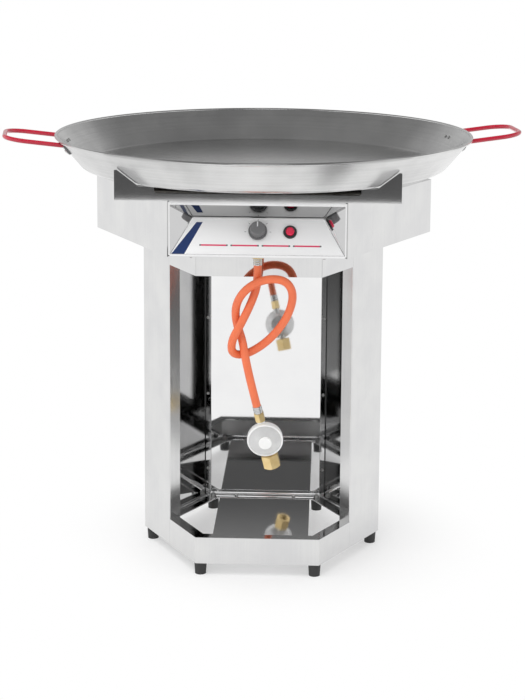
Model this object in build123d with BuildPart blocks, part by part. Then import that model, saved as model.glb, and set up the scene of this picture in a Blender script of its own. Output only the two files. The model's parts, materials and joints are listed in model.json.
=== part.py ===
from build123d import *
import math
import os

# A gas barbecue on a six-sided stand of folded steel sheet. The open front takes a gas bottle, the wider
# housing above holds a star burner and its controls, and a loose round pan stands on two horned supports.
# The origin is on the floor under the stand's axis, +Z is up and the controls face -Y. Sizes are in mm.

# Sheet metal
sheet = 1.5                     # steel sheet of the stand and the housing
bend_inside = 1.0               # inside radius of its folds
hole_clearance = 0.1            # radial gap between a fastener and its hole
running_clearance = 0.05        # gap round a piece that turns or slides in another
seat_gap = 0.05                 # gap under a flat piece that sits on a round one
weld_gap = 0.2                  # gap left for a weld

# Stand
foot_height = 24.0
foot_diameter = 24.0
foot_floor_diameter = 21.0
foot_recess_diameter = 14.0     # room for the screw's head
foot_recess_depth = 9.0
corner_inset = 17.0             # feet and bolts, from the corner towards the axis
stand_radius = 233.0            # axis to corner
stand_height = 606.0
plinth_height = 51.0
lintel_height = 51.0
level_flange = 28.0             # folds at the foot and the head of the stand
plinth_lip = 22.0
lintel_lip = 14.0
opening_flange = 23.0           # folds of the side panels beside the opening
seam_flange = 18.0              # folds at the ends of the plinth and the lintel
stand_lap = 20.0                # folds of the rear panel behind the side panels

# Gas bottle shelf
shelf_foot_gap = 2.0
shelf_edge_gap = 6.0
shelf_step_gap = 0.5            # between its raised middle and the flanges that lie on its ends
shelf_lip = 9.0
shelf_rivet_spacing = 120.0

# Housing
housing_radius = 323.0          # axis to corner
housing_height = 102.0
housing_flange = 20.0
fascia_flange = 16.0            # the fascia's lower fold, which clears the inlet nut
housing_lap = 15.0
vent_count = 6
vent_radius = 165.0
vent_length = 60.0
vent_width = 10.0
fascia_screw_spacing = 240.0
rear_screw_spacing = 160.0

# Control recess
recess_margin = 4.5             # front sheet beside the recess, from the housing's corner
recess_strip = 7.0              # front sheet above the recess
recess_sill = 3.0               # front sheet below it
recess_depth = 36.0
ridge_drop = 28.5               # from the top of the recess to its deepest line
cheek_taper = 39.0              # how far each end comes in at the deepest line
cheek_overlap = 4.0
film = 0.4                      # printed film on the slope
film_margin = 1.0               # bare slope below the film and beside it
film_head = 2.6                 # bare slope above it, clear of the fold
control_row = 44.5              # knob and button, up the slope from the sill
igniter_offset = 58.0           # button, to the right of the knob

# Gas valve and knob
valve_width = 30.0
valve_length = 46.0
neck_diameter = 14.0
neck_height = 4.5
valve_nut_width = 17.0
valve_nut_height = 3.0
plug_diameter = 15.0
plug_length = 22.0
plug_seat = 7.0                 # valve wall in front of the plug
spindle_diameter = 8.0
spindle_square = 5.4
spindle_tail = 1.0              # square end that stands out behind the plug
knob_push = 3.0
push_room = 1.0                 # room left behind a pushed spindle
knob_gap = 3.8                  # under the knob when it is out
knob_diameter = 33.6
knob_skirt = 3.5
knob_height = 20.0
grip_diameter = 28.0
knob_face_diameter = 25.0
knob_hollow_diameter = 25.0
knob_hollow_depth = 9.0
knob_boss_diameter = 13.0
knob_boss_gap = 4.0             # above the valve's neck when the knob is out
knob_roof = 5.0                 # solid above the spindle
knob_rounding = 1.2
pointer_width = 2.0
pointer_length = 9.0
pointer_height = 0.5
socket_diameter = 10.0
socket_length = 9.0
socket_depth = 36.0             # along the valve from its seat
outlet_diameter = 14.0
outlet_length = 12.0
outlet_root = 10.0

# Igniter
bezel_diameter = 24.5
bezel_height = 4.0
bezel_rounding = 1.5
barrel_diameter = 18.0
barrel_length = 40.0
igniter_nut_width = 22.0
igniter_nut_height = 4.0
button_diameter = 15.6
button_gap = 0.3
button_height = 4.6             # above the bezel
button_length = 27.0
button_travel = 4.0
button_room = 1.5               # left under the pushed button
button_rounding = 3.0
igniter_tail_diameter = 9.0
igniter_tail_length = 6.0

# Burner
feed_height = 19.5              # mixing tube's axis above the tray
burner_height = 68.5            # arms' axis above the tray
hub_diameter = 68.0
hub_wall = 4.0
hub_height = 84.0
hub_floor = 6.0
hub_flange_diameter = 92.0
hub_flange_height = 4.0
hub_screw_radius = 39.8
cap_overhang = 3.0
cap_height = 5.0
cap_plug = 4.0
cap_rounding = 3.0
arm_count = 6
arm_diameter = 22.0
arm_wall = 2.0
arm_reach = 235.0               # axis to the end of an arm
slot_count = 14
slot_width = 1.4
slot_depth = 4.5
slot_margin = 14.0
mixing_diameter = 26.0
mixing_wall = 2.0
mouth_reach = 128.0             # axis to the mixing tube's mouth
mouth_flare = 4.5
mouth_length = 16.0
jet_gap = 8.0                   # from the injector's tip to the mouth
jet_length = 12.0
jet_diameter = 10.0
jet_tip_diameter = 5.0
jet_hole = 1.6
jet_hex_width = 14.0
jet_hex_length = 8.0
jet_bracket_thickness = 3.0
jet_bracket_width = 40.0
jet_bracket_rise = 14.0         # above the injector's axis
jet_bracket_foot = 20.0
jet_screw_spacing = 26.0
feed_pipe_diameter = 8.0
feed_pipe_wall = 1.0

# Flame sensor and spark electrode
ignition_angle = -60.0          # the arm that they stand beside
ignition_radius = 118.0
ignition_offset = 19.0          # beside the arm's axis
ignition_spacing = 26.0
ignition_sheet = 2.0
ignition_length = 44.0          # bracket, along the arm
ignition_tab = 16.0             # tab that holds them, across the arm
ignition_height = 40.0          # tab above the tray
ignition_foot = 22.0
probe_diameter = 6.0
probe_collar_diameter = 10.0
probe_collar_height = 4.0
probe_rise = 38.0               # above the tab
probe_drop = 12.0               # below the tab
ceramic_diameter = 7.0
ceramic_rise = 26.0
wire_diameter = 2.0
wire_rise = 14.0
wire_hook = 7.0
lead_diameter = 3.0

# Gas inlet
inlet_setback = 28.0            # behind the housing's front
inlet_thread_diameter = 12.8
inlet_bore = 7.0
inlet_hex_width = 19.0
inlet_hex_height = 6.0
inlet_collar_diameter = 15.6
inlet_collar_length = 9.0
inlet_stud_height = 12.0        # above the tray
inlet_nut_width = 17.0
inlet_nut_height = 5.0
inlet_boss_diameter = 13.0
inlet_boss_root = 5.0           # of the boss inside the valve

# Pan supports
support_thickness = 2.5
support_setback = 0.7           # behind the housing's front
support_web = 13.0              # height between the shoulders
pan_lift_height = 25.0          # pan's underside above the housing
horn_height = 54.5
horn_gap = 2.0                  # beside the pan
horn_tip = 5.0
shoulder_length = 28.0
shoulder_rounding = 4.0
tip_rounding = 2.0
support_foot_width = 280.0
support_foot_depth = 26.0
support_screw_spacing = 76.0
support_screw_count = 4

# Pan
pan_radius = 400.0              # to the outside of the rim's bead
pan_depth = 62.0
pan_lean = 40.0                 # degrees between the wall and the vertical
pan_sheet = 2.0
pan_corner = 20.0
bead_diameter = 6.0
pan_turn = 8.5                  # degrees that the pan is turned on its supports
handle_length = 97.0            # from the rim to the end of a handle
handle_rod = 8.5
handle_width = 140.0            # between the legs' axes
handle_corner = 42.0
handle_rise = 7.0               # degrees
handle_rim_gap = 0.6
handle_root = 16.0              # of the rod inside the bead's circle
pad_width = 26.0
pad_height = 22.0
pad_thickness = 3.0
pad_rounding = 4.0
pad_sink = 1.0
pad_drop = 20.0                 # down the wall from the bead to the pad
pad_rivet_spacing = 16.0
pad_rivet_drop = 5.0            # below the middle of the pad

# Hose and regulator
hose_diameter = 15.0
ferrule_diameter = 15.6
ferrule_length = 14.0
hose_nut_width = 17.0
hose_nut_length = 18.0
regulator_neck_diameter = 14.0
regulator_neck_root = 10.0
regulator_diameter = 65.0
regulator_drop = 36.0           # from the hose nut to the middle of the disc
regulator_back = 11.0           # behind the gas way's axis
regulator_seat = 8.0            # the cover's seat, in front of the axis
regulator_wall = 3.0
regulator_back_diameter = 36.0
cover_rim = 3.0
cover_height = 12.0
cover_wall = 1.5
cover_top_diameter = 27.0
regulator_cap_diameter = 24.0
regulator_cap_height = 4.0
regulator_cap_rounding = 1.5
diaphragm_thickness = 0.8
spigot_diameter = 14.0
spigot_root = 6.0
spigot_nose_diameter = 19.0
spigot_nose_length = 5.0
spigot_bore = 6.0
seal_thickness = 2.0
cylinder_nut_gap = 2.5          # under the regulator's disc
cylinder_nut_width = 30.0
cylinder_nut_length = 27.0
cylinder_nut_floor = 5.0
cylinder_thread_diameter = 20.2
thread_relief = 0.5             # wider room round the spigot's nose and its seal
nut_play = 0.4                  # lets the nut turn on the spigot

# Fasteners
rivet_diameter = 4.0
rivet_head = 8.0
rivet_head_height = 1.6
rivet_tail = 6.5
rivet_tail_height = 1.8
rivet_edge = 8.0                # from the edge of a fold
rivet_slack = 0.2               # left for the curve of the pan's wall
stand_rivet_margin = 60.0       # from the ends of a seam
stand_rivet_count = 4
housing_rivet_margin = 28.0
housing_rivet_count = 2
bolt_diameter = 6.0
bolt_head = 12.0
bolt_head_height = 4.0
nut_width = 10.0
nut_height = 5.0
thread_end = 2.0                # of a bolt past its nut
screw_diameter = 5.0
screw_head = 9.5
screw_head_height = 3.0
screw_length = 10.0
head_rounding = 0.6             # share of a head's height that is rounded

# Hose route from the inlet's collar, chosen to follow its knot
hose_route = [
    (0, 0, 0), (0, 0, -22), (-2, 8, -48), (-13, 4, -78), (-30, -9, -112), (-46, -11, -141),
    (-47, -3, -168), (-24, 10, -174), (8, 10, -156), (36, 6, -128), (58, 0, -92), (66, -5, -54),
    (51, -11, -28), (15, -16, -25), (-20, -11, -44), (-40, 0, -76), (-40, 11, -112), (-28, 6, -142),
    (-22, -10, -170), (-14, -16, -205), (-6, -15, -238), (0, -8.5, -264),
]

# Levels and directions that follow
COS30 = math.cos(math.radians(30))
STANDING = (Align.CENTER, Align.CENTER, Align.MIN)
HANGING = (Align.CENTER, Align.CENTER, Align.MAX)
FRONT = Vector(0, -1, 0)
DOWN = (0, 0, -1)
bend_outside = bend_inside + sheet
stand_foot = foot_height
stand_head = stand_foot + stand_height
tray_top = stand_head + sheet
housing_head = stand_head + housing_height
pan_foot = housing_head + pan_lift_height
stand_apothem = stand_radius * COS30
housing_apothem = housing_radius * COS30


def corner(radius, index):
    """Corner of a hexagon in plan, counted anticlockwise from +X."""
    return Vector(radius, 0).rotate(Axis.Z, 60 * index)


def inset(radius, depth):
    """Corner radius of the hexagon that lies a depth inside another."""
    return radius - depth / COS30


def band(stations, radius, outer_depth, inner_depth):
    """Mitred strip inside a hexagon's sides, between the stations on its outline."""
    outer = [station * (inset(radius, outer_depth) / radius) for station in stations]
    inner = [station * (inset(radius, inner_depth) / radius) for station in reversed(stations)]
    with BuildSketch(mode=Mode.PRIVATE) as strip:
        Polygon(*[(point.X, point.Y) for point in outer + inner], align=None)
    return strip.sketch


def fold(path, radius=bend_outside):
    """Section of a folded sheet: its face follows the path and its thickness lies to the left."""
    with BuildSketch(mode=Mode.PRIVATE) as section:
        with BuildLine():
            FilletPolyline(*path, radius=radius)
            offset(amount=sheet, side=Side.LEFT)
        make_face()
    return section.sketch


def raise_face(face, bottom, height):
    """Extrude a plan upwards from a level in the part that is being built."""
    extrude(Plane.XY.offset(bottom) * face, amount=height)


def lapped_path(radius, lap):
    """Outline of a hexagon's rear wall, with a fold at each end that lies behind the next wall."""
    end = Vector(inset(radius, sheet) - radius / 2, radius * COS30)
    tip = end + Vector(0.5, -COS30) * lap
    return [tip, end, Vector(-end.X, end.Y), Vector(-tip.X, tip.Y)]


def raise_flat(path, bottom, height):
    """Extrude the flat middle of a lapped wall, between its two folds."""
    with BuildSketch(mode=Mode.PRIVATE) as flat:
        with Locations((0, path[1].Y - math.copysign(sheet / 2, path[1].Y))):
            Rectangle(2 * (abs(path[1].X) - bend_outside), sheet)
    raise_face(flat.sketch, bottom, height)


def raise_flange(path, depth, bottom):
    """Extrude a level fold of a lapped wall, cut back beside the folds at its ends."""
    half = abs(path[1].X) - bend_outside
    inner_half = half - (depth - sheet) / COS30 / 2
    inward = math.copysign(1, -path[1].Y)
    outer = path[1].Y + inward * sheet
    inner = path[1].Y + inward * depth
    with BuildSketch(mode=Mode.PRIVATE) as flange:
        Polygon((-half, outer), (half, outer), (inner_half, inner), (-inner_half, inner), align=None)
    raise_face(flange.sketch, bottom, sheet)


def spread(low, high, count):
    """Evenly spaced values from low to high."""
    return [low + (high - low) * step / (count - 1) for step in range(count)]


def upright(points, level, z_dir=(0, 0, 1)):
    """Level planes over points of the plan."""
    return [Plane(origin=(point.X, point.Y, level), z_dir=z_dir) for point in points]


def drill(seats, diameter, depth):
    """Cut the clearance holes below a fastener's seats in the part that is being built."""
    with Locations(*seats):
        Hole(diameter / 2 + hole_clearance, depth)


def place(piece, seats):
    """Add a copy of a piece on each seat to the part that is being built."""
    with Locations(*seats):
        add(piece)


def make_pin(diameter, length, head, head_height):
    """Round-headed fastener: its head stands on the seat and its shank goes down."""
    with BuildPart() as pin:
        Cylinder(head / 2, head_height, align=STANDING)
        fillet(pin.edges().sort_by(Axis.Z)[-1], head_height * head_rounding)
        Cylinder(diameter / 2, length, align=HANGING)
    return pin.part


def make_rivet(grip):
    """Rivet through a grip, with its closed end under the last sheet."""
    pin = make_pin(rivet_diameter, grip, rivet_head, rivet_head_height)
    with BuildPart() as rivet:
        add(pin)
        with Locations((0, 0, -grip)):
            Cylinder(rivet_tail / 2, rivet_tail_height, align=HANGING)
    return rivet.part


def make_nut(width, height, thread):
    """Hexagon nut that stands on its seat."""
    with BuildPart() as nut:
        with BuildSketch():
            RegularPolygon(width / 2, 6, major_radius=False)
            Circle(thread / 2 + hole_clearance, mode=Mode.SUBTRACT)
        extrude(amount=height)
    return nut.part


def corner_radii(points):
    """Largest arcs that a cord's runs leave room for, one for each turn of its route."""
    radii = []
    for before, point, after in zip(points, points[1:], points[2:]):
        shorter = min((point - before).length, (after - point).length)
        turn = (point - before).get_angle(after - point)
        radii.append(0.45 * shorter / math.tan(math.radians(turn / 2)))
    return radii


def sweep_cord(name, points, diameter):
    """Round cord on straight runs and tangent arcs, with its radii and its volume printed."""
    radii = corner_radii(points)
    with BuildPart() as cord:
        with BuildLine() as path:
            FilletPolyline(*points, radius=radii)
        with BuildSketch(Plane(origin=path.line @ 0, z_dir=path.line % 0)):
            Circle(diameter / 2)
        sweep()
    length = path.wire().length
    ratio = cord.part.volume / (math.pi * diameter ** 2 / 4 * length)
    print(name, "radii", [round(radius, 1) for radius in radii])
    print(name, "length", round(length, 1), "volume over section times length", round(ratio, 4))
    return cord


# Where the stand's fasteners sit
corner_points = [corner(stand_radius - corner_inset, index) for index in range(6)]
seam = (corner(stand_radius, 5) + corner(stand_radius, 0)) * 0.5
seam_left = Vector(-seam.X, seam.Y)
seam_inward = Vector(-COS30, 0.5)
seam_inward_left = Vector(COS30, 0.5)
seam_along = Vector(0.5, COS30)
wall_out = Vector(COS30, 0.5)
lap_along = Vector(0.5, -COS30)


def seam_seats():
    """Rivets that join the plinth and the lintel to the side panels."""
    point = seam + seam_inward * (seam_flange - rivet_edge) + seam_along * sheet
    plinth_rows = spread(stand_foot, stand_foot + plinth_height, 4)[1:-1]
    lintel_rows = spread(stand_head - lintel_height, stand_head, 4)[1:-1]
    return [
        Plane(origin=(side * point.X, point.Y, row), z_dir=(side * seam_along.X, seam_along.Y, 0))
        for side in (1, -1)
        for row in plinth_rows + lintel_rows
    ]


def lap_seats(radius, lap, rows):
    """Rivets through the rear wall's laps, seated on the outside of the walls beside it."""
    end = Vector(inset(radius, sheet) - radius / 2, radius * COS30)
    point = end + lap_along * (lap - rivet_edge) + wall_out * sheet
    return [
        Plane(origin=(side * point.X, point.Y, row), z_dir=(side * wall_out.X, wall_out.Y, 0))
        for side in (1, -1)
        for row in rows
    ]


shelf_row = stand_apothem - level_flange / 2
shelf_seats = [
    Plane(origin=(x, y, stand_foot + sheet))
    for x in (-shelf_rivet_spacing / 2, shelf_rivet_spacing / 2)
    for y in (-shelf_row, shelf_row)
]
stand_rows = spread(stand_foot + stand_rivet_margin, stand_head - stand_rivet_margin, stand_rivet_count)
housing_rows = spread(stand_head + housing_rivet_margin, housing_head - housing_rivet_margin, housing_rivet_count)
stand_lap_seats = lap_seats(stand_radius, stand_lap, stand_rows)
housing_lap_seats = lap_seats(housing_radius, housing_lap, housing_rows)
stand_seats = seam_seats() + stand_lap_seats + shelf_seats


def drill_stand():
    """Cut every fastener's holes that fall in a panel of the stand."""
    drill(upright(corner_points, stand_foot + sheet), bolt_diameter, sheet)
    drill(upright(corner_points, stand_head), bolt_diameter, sheet)
    drill(stand_seats, rivet_diameter, 2 * sheet)


# Side panels of the stand
side_stations = [seam, corner(stand_radius, 0), corner(stand_radius, 1)]
with BuildPart() as side_panel_right:
    raise_face(fold([seam + seam_inward * opening_flange] + side_stations), stand_foot, stand_height)
    for bottom in (stand_foot, stand_head - sheet):
        raise_face(band(side_stations, stand_radius, sheet, level_flange), bottom, sheet)
    drill_stand()

with BuildPart() as side_panel_left:
    mirror(side_panel_right.part, about=Plane.YZ)

# Rear panel
stand_rear_path = lapped_path(stand_radius, stand_lap)
with BuildPart() as rear_panel:
    raise_face(fold(stand_rear_path), stand_foot + sheet, stand_height - 2 * sheet)
    raise_flat(stand_rear_path, stand_foot, stand_height)
    for bottom in (stand_foot, stand_head - sheet):
        raise_flange(stand_rear_path, level_flange, bottom)
    drill_stand()

# Plinth and lintel
front_stations = [seam_left, corner(stand_radius, 4), corner(stand_radius, 5), seam]
front_path = [
    seam_left + seam_inward_left * seam_flange,
    *front_stations,
    seam + seam_inward * seam_flange,
]
with BuildPart() as front_plinth:
    raise_face(fold(front_path), stand_foot, plinth_height)
    raise_face(band(front_stations, stand_radius, sheet, level_flange), stand_foot, sheet)
    plinth_top = stand_foot + plinth_height - sheet
    raise_face(band(front_stations, stand_radius, sheet, plinth_lip), plinth_top, sheet)
    drill_stand()

with BuildPart() as front_lintel:
    raise_face(fold(front_path), stand_head - lintel_height, lintel_height)
    raise_face(band(front_stations, stand_radius, sheet, level_flange), stand_head - sheet, sheet)
    raise_face(band(front_stations, stand_radius, sheet, lintel_lip), stand_head - lintel_height, sheet)
    drill_stand()

# Gas bottle shelf: its ends lie under the flanges of the plinth and the rear panel, and a step in the
# sheet brings its middle level with their tops
shelf_half = corner_points[5].X - foot_diameter / 2 - shelf_foot_gap
shelf_end = stand_apothem - shelf_edge_gap
shelf_step = stand_apothem - level_flange - shelf_step_gap
shelf_top = stand_foot + sheet
shelf_half_section = [
    (shelf_step, shelf_top),
    (shelf_step, stand_foot),
    (shelf_end, stand_foot),
    (shelf_end, stand_foot - sheet),
    (shelf_step - sheet, stand_foot - sheet),
    (shelf_step - sheet, stand_foot),
]
with BuildPart() as cylinder_shelf:
    with BuildSketch(Plane.YZ):
        Polygon(*shelf_half_section, *[(-y, z) for y, z in reversed(shelf_half_section)], align=None)
    extrude(amount=shelf_half, both=True)
    with BuildSketch(Plane.XY.offset(shelf_top)):
        for side in (-1, 1):
            with Locations((side * (shelf_half - sheet / 2), 0)):
                Rectangle(sheet, 2 * shelf_step)
    extrude(amount=-2 * sheet - shelf_lip)
    drill(shelf_seats, rivet_diameter, 2 * sheet)

# Rubber feet with their screws
foot_screw_length = foot_height - foot_recess_depth + sheet + nut_height + thread_end
with BuildPart() as rubber_feet:
    with Locations(*upright(corner_points, 0)):
        Cone(foot_floor_diameter / 2, foot_diameter / 2, foot_height, align=STANDING)
    with Locations(*upright(corner_points, 0, DOWN)):
        CounterBoreHole(
            bolt_diameter / 2 + hole_clearance, foot_recess_diameter / 2, foot_recess_depth, foot_height
        )

foot_screw = make_pin(bolt_diameter, foot_screw_length, bolt_head, bolt_head_height)
with BuildPart() as foot_screws:
    place(foot_screw, upright(corner_points, foot_recess_depth, DOWN))

# Burner tray, which closes the stand and carries the housing
tray_radius = inset(housing_radius, sheet + weld_gap)
tray_front = Vector(tray_radius - housing_radius / 2, -housing_apothem)
tray_outline = [tray_front]
tray_outline += [corner(tray_radius, index) for index in range(4)]
tray_outline += [Vector(-tray_front.X, tray_front.Y)]
flange_middle = (sheet + housing_flange) / 2
fascia_row = -housing_apothem + fascia_flange - screw_diameter
inlet_y = -housing_apothem + inlet_setback
jet_plate_y = -mouth_reach - jet_gap - jet_length
jet_foot_y = jet_plate_y - jet_bracket_thickness - jet_bracket_foot / 2
ignition_along = Vector(1, 0).rotate(Axis.Z, ignition_angle)
ignition_across = Vector(1, 0).rotate(Axis.Z, ignition_angle + 90)
ignition_origin = ignition_along * ignition_radius + ignition_across * ignition_offset
ignition_foot_end = ignition_tab + ignition_foot

side_points = [Vector(housing_apothem - flange_middle, 0).rotate(Axis.Z, angle) for angle in (-30, 30, 150, 210)]
rear_points = [Vector(side * rear_screw_spacing / 2, housing_apothem - flange_middle) for side in (-1, 1)]
fascia_points = [Vector(side * fascia_screw_spacing / 2, fascia_row) for side in (-1, 1)]
hub_points = [Vector(hub_screw_radius, 0).rotate(Axis.Z, angle) for angle in (90, 210, 330)]
jet_points = [Vector(side * jet_screw_spacing / 2, jet_foot_y) for side in (-1, 1)]
ignition_points = [
    ignition_origin
    + ignition_along * (side * ignition_spacing / 2)
    + ignition_across * (ignition_foot_end - ignition_foot / 2)
    for side in (-1, 1)
]
tray_seats = upright(side_points + rear_points + fascia_points, tray_top + sheet)
tray_seats += upright(hub_points, tray_top + hub_flange_height)
tray_seats += upright(jet_points, tray_top + jet_bracket_thickness)
tray_seats += upright(ignition_points, tray_top + ignition_sheet)
support_columns = spread(-1.5 * support_screw_spacing, 1.5 * support_screw_spacing, support_screw_count)
support_seats = [
    Plane(origin=(x, side * (housing_apothem - flange_middle), housing_head + support_thickness))
    for side in (-1, 1)
    for x in support_columns
]

with BuildPart() as burner_tray:
    with BuildSketch(Plane.XY.offset(stand_head)):
        Polygon(*[(point.X, point.Y) for point in tray_outline], align=None)
        with PolarLocations(vent_radius, vent_count):
            SlotOverall(vent_length, vent_width, rotation=90, mode=Mode.SUBTRACT)
    extrude(amount=sheet)
    drill(upright(corner_points, tray_top), bolt_diameter, sheet)
    drill(tray_seats, screw_diameter, screw_length)
    drill([Plane(origin=(0, inlet_y, tray_top))], inlet_thread_diameter, sheet)

stand_bolt_length = 2 * sheet + nut_height + thread_end
stand_bolt = make_pin(bolt_diameter, stand_bolt_length, bolt_head, bolt_head_height)
with BuildPart() as stand_bolts:
    place(stand_bolt, upright(corner_points, tray_top))

corner_nut = make_nut(nut_width, nut_height, bolt_diameter)
with BuildPart() as corner_nuts:
    place(corner_nut, upright(corner_points, stand_foot + sheet))
    place(corner_nut, upright(corner_points, stand_head - sheet, DOWN))

# Housing walls
housing_stations = [corner(housing_radius, index) for index in (5, 6, 7)]
with BuildPart() as housing_side_right:
    raise_face(fold(housing_stations), stand_head, housing_height)
    for bottom in (tray_top, housing_head - sheet):
        raise_face(band(housing_stations, housing_radius, sheet, housing_flange), bottom, sheet)
    drill(tray_seats, screw_diameter, screw_length)
    drill(housing_lap_seats, rivet_diameter, 2 * sheet)

with BuildPart() as housing_side_left:
    mirror(housing_side_right.part, about=Plane.YZ)

housing_rear_path = lapped_path(housing_radius, housing_lap)
housing_lap_height = housing_head - tray_top - 2 * sheet
with BuildPart() as housing_rear:
    raise_face(fold(housing_rear_path), tray_top + sheet, housing_lap_height)
    raise_flat(housing_rear_path, stand_head, housing_height)
    for bottom in (tray_top, housing_head - sheet):
        raise_flange(housing_rear_path, housing_flange, bottom)
    drill(tray_seats + support_seats, screw_diameter, screw_length)
    drill(housing_lap_seats, rivet_diameter, 2 * sheet)

sheet_rivet = make_rivet(2 * sheet)
with BuildPart() as sheet_rivets:
    place(sheet_rivet, stand_seats + housing_lap_seats)

# Fascia: the front wall with the control recess welded behind its opening
recess_front = -housing_apothem + sheet
recess_top = housing_head - recess_strip
recess_foot = tray_top + recess_sill
recess_half = housing_radius / 2 - recess_margin
recess_width = 2 * recess_half
ridge_y = recess_front + recess_depth
ridge_z = recess_top - ridge_drop
recess_path = [
    (recess_front, recess_top + recess_strip / 2),
    (recess_front, recess_top),
    (ridge_y, ridge_z),
    (recess_front, recess_foot),
    (recess_front, recess_foot - recess_sill / 2),
]
slope = (Vector(0, ridge_y, ridge_z) - Vector(0, recess_front, recess_foot))
slope_length = slope.length
slope_up = slope.normalized()
slope_out = Vector(1, 0, 0).cross(slope_up)
slope_plane = Plane(origin=(0, recess_front, recess_foot), x_dir=(1, 0, 0), z_dir=slope_out)
knob_origin = slope_plane.from_local_coords((0, control_row, 0))
igniter_origin = slope_plane.from_local_coords((igniter_offset, control_row, 0))
knob_plane = Plane(origin=knob_origin, x_dir=(1, 0, 0), z_dir=slope_out)
igniter_plane = Plane(origin=igniter_origin, x_dir=(1, 0, 0), z_dir=slope_out)
cheek_start = Vector(recess_half, recess_front)
cheek_run = Vector(-cheek_taper, recess_depth)
cheek_along = cheek_run.normalized()
cheek_out = Vector(cheek_along.Y, -cheek_along.X)
cheek_length = cheek_run.length
front_wall_path = [point * -1 for point in housing_rear_path]

with BuildPart() as fascia:
    with BuildSketch(Plane.YZ.offset(-recess_half)):
        add(fold(recess_path, radius=[bend_outside, bend_inside, bend_outside]))
    extrude(amount=recess_width)
    for side in (-1, 1):
        near = cheek_start - cheek_along * cheek_length
        far = cheek_start + cheek_along * (2 * cheek_length)
        trim = [near, far, far + cheek_out * recess_half, near + cheek_out * recess_half]
        with BuildSketch(Plane.XY.offset(stand_head)):
            Polygon(*[(side * point.X, point.Y) for point in trim], align=None)
        extrude(amount=housing_height, mode=Mode.SUBTRACT)
    raise_face(fold(front_wall_path), tray_top + sheet, housing_lap_height)
    raise_flat(front_wall_path, tray_top, housing_head - tray_top)
    raise_flange(front_wall_path, fascia_flange, tray_top)
    raise_flange(front_wall_path, housing_flange, housing_head - sheet)
    with BuildSketch(Plane.XZ.offset(housing_apothem)):
        with Locations((0, (recess_top + recess_foot) / 2)):
            Rectangle(recess_width, recess_top - recess_foot)
    extrude(amount=-sheet, mode=Mode.SUBTRACT)
    drill(tray_seats + support_seats, screw_diameter, screw_length)
    drill([knob_plane], neck_diameter, 2 * sheet)
    drill([igniter_plane], barrel_diameter, 2 * sheet)

# Plates that close the ends of the recess
cheek_plane = Plane(
    origin=(cheek_start.X, cheek_start.Y, recess_foot),
    x_dir=(cheek_along.X, cheek_along.Y, 0),
    z_dir=(cheek_out.X, cheek_out.Y, 0),
)
with BuildPart() as niche_cheek_right:
    with BuildSketch(cheek_plane):
        Rectangle(cheek_length + cheek_overlap, recess_top - recess_foot, align=Align.MIN)
    extrude(amount=sheet)

with BuildPart() as niche_cheek_left:
    mirror(niche_cheek_right.part, about=Plane.YZ)

# Film on the slope, with a window for the knob and a hole for the button
film_top = slope_length - film_head
film_top_half = recess_half - cheek_taper * film_top / slope_length - film_margin
film_foot_half = recess_half - cheek_taper * film_margin / slope_length - film_margin
with BuildPart() as control_overlay:
    with BuildSketch(slope_plane):
        Polygon(
            (-film_foot_half, film_margin),
            (film_foot_half, film_margin),
            (film_top_half, film_top),
            (-film_top_half, film_top),
            align=None,
        )
        with Locations((0, control_row)):
            Circle(knob_hollow_diameter / 2, mode=Mode.SUBTRACT)
        with Locations((igniter_offset, control_row)):
            Circle(barrel_diameter / 2 + hole_clearance, mode=Mode.SUBTRACT)
    extrude(amount=film)

# Gas valve behind the slope
feed_z = tray_top + feed_height
valve_tail = knob_plane.from_local_coords((0, 0, -sheet - valve_length))
outlet_end = valve_tail.Y + outlet_length
inlet_stud_top = tray_top + inlet_stud_height
valve_edge = knob_plane.from_local_coords((0, -valve_width / 2, -sheet))
inlet_boss_top = valve_edge.Z - (inlet_y - valve_edge.Y) * slope_up.Y / slope_up.Z + inlet_boss_root
plug_front = -sheet - plug_seat
plug_back = plug_front - plug_length
spindle_end = plug_back - spindle_tail
tail_room_end = spindle_end - knob_push - push_room
outlet_plane = Plane(origin=(0, valve_tail.Y - outlet_root, feed_z), z_dir=(0, 1, 0))
socket_origin = knob_plane.from_local_coords((valve_width / 2, 0, -sheet - socket_depth))
socket_plane = Plane(origin=socket_origin, z_dir=(1, 0, 0))
with BuildPart() as gas_valve:
    with BuildSketch(knob_plane.offset(-sheet)):
        RectangleRounded(valve_width, valve_width, bend_outside)
    extrude(amount=-valve_length)
    with BuildSketch(knob_plane.offset(-sheet)):
        Circle(neck_diameter / 2)
    extrude(amount=sheet + neck_height)
    with BuildSketch(Plane((0, inlet_y, inlet_stud_top))):
        Circle(inlet_boss_diameter / 2)
    extrude(amount=inlet_boss_top - inlet_stud_top)
    with BuildSketch(outlet_plane):
        Circle(outlet_diameter / 2)
    extrude(amount=outlet_root + outlet_length)
    with BuildSketch(socket_plane):
        Circle(socket_diameter / 2)
    extrude(amount=socket_length)
    with BuildSketch(knob_plane.offset(plug_front + running_clearance)):
        Circle(plug_diameter / 2 + running_clearance)
    extrude(amount=-plug_length - 2 * running_clearance, mode=Mode.SUBTRACT)
    with BuildSketch(knob_plane.offset(neck_height)):
        Circle(spindle_diameter / 2 + running_clearance)
    extrude(amount=tail_room_end - neck_height, mode=Mode.SUBTRACT)

neck_nut = make_nut(valve_nut_width, valve_nut_height, neck_diameter)
with BuildPart() as valve_nut:
    place(neck_nut, [knob_plane])

with BuildPart() as valve_plug:
    with BuildSketch(knob_plane.offset(plug_front)):
        Circle(plug_diameter / 2)
        Rectangle(
            spindle_square + 2 * running_clearance,
            spindle_square + 2 * running_clearance,
            mode=Mode.SUBTRACT,
        )
    extrude(amount=-plug_length)

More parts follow.
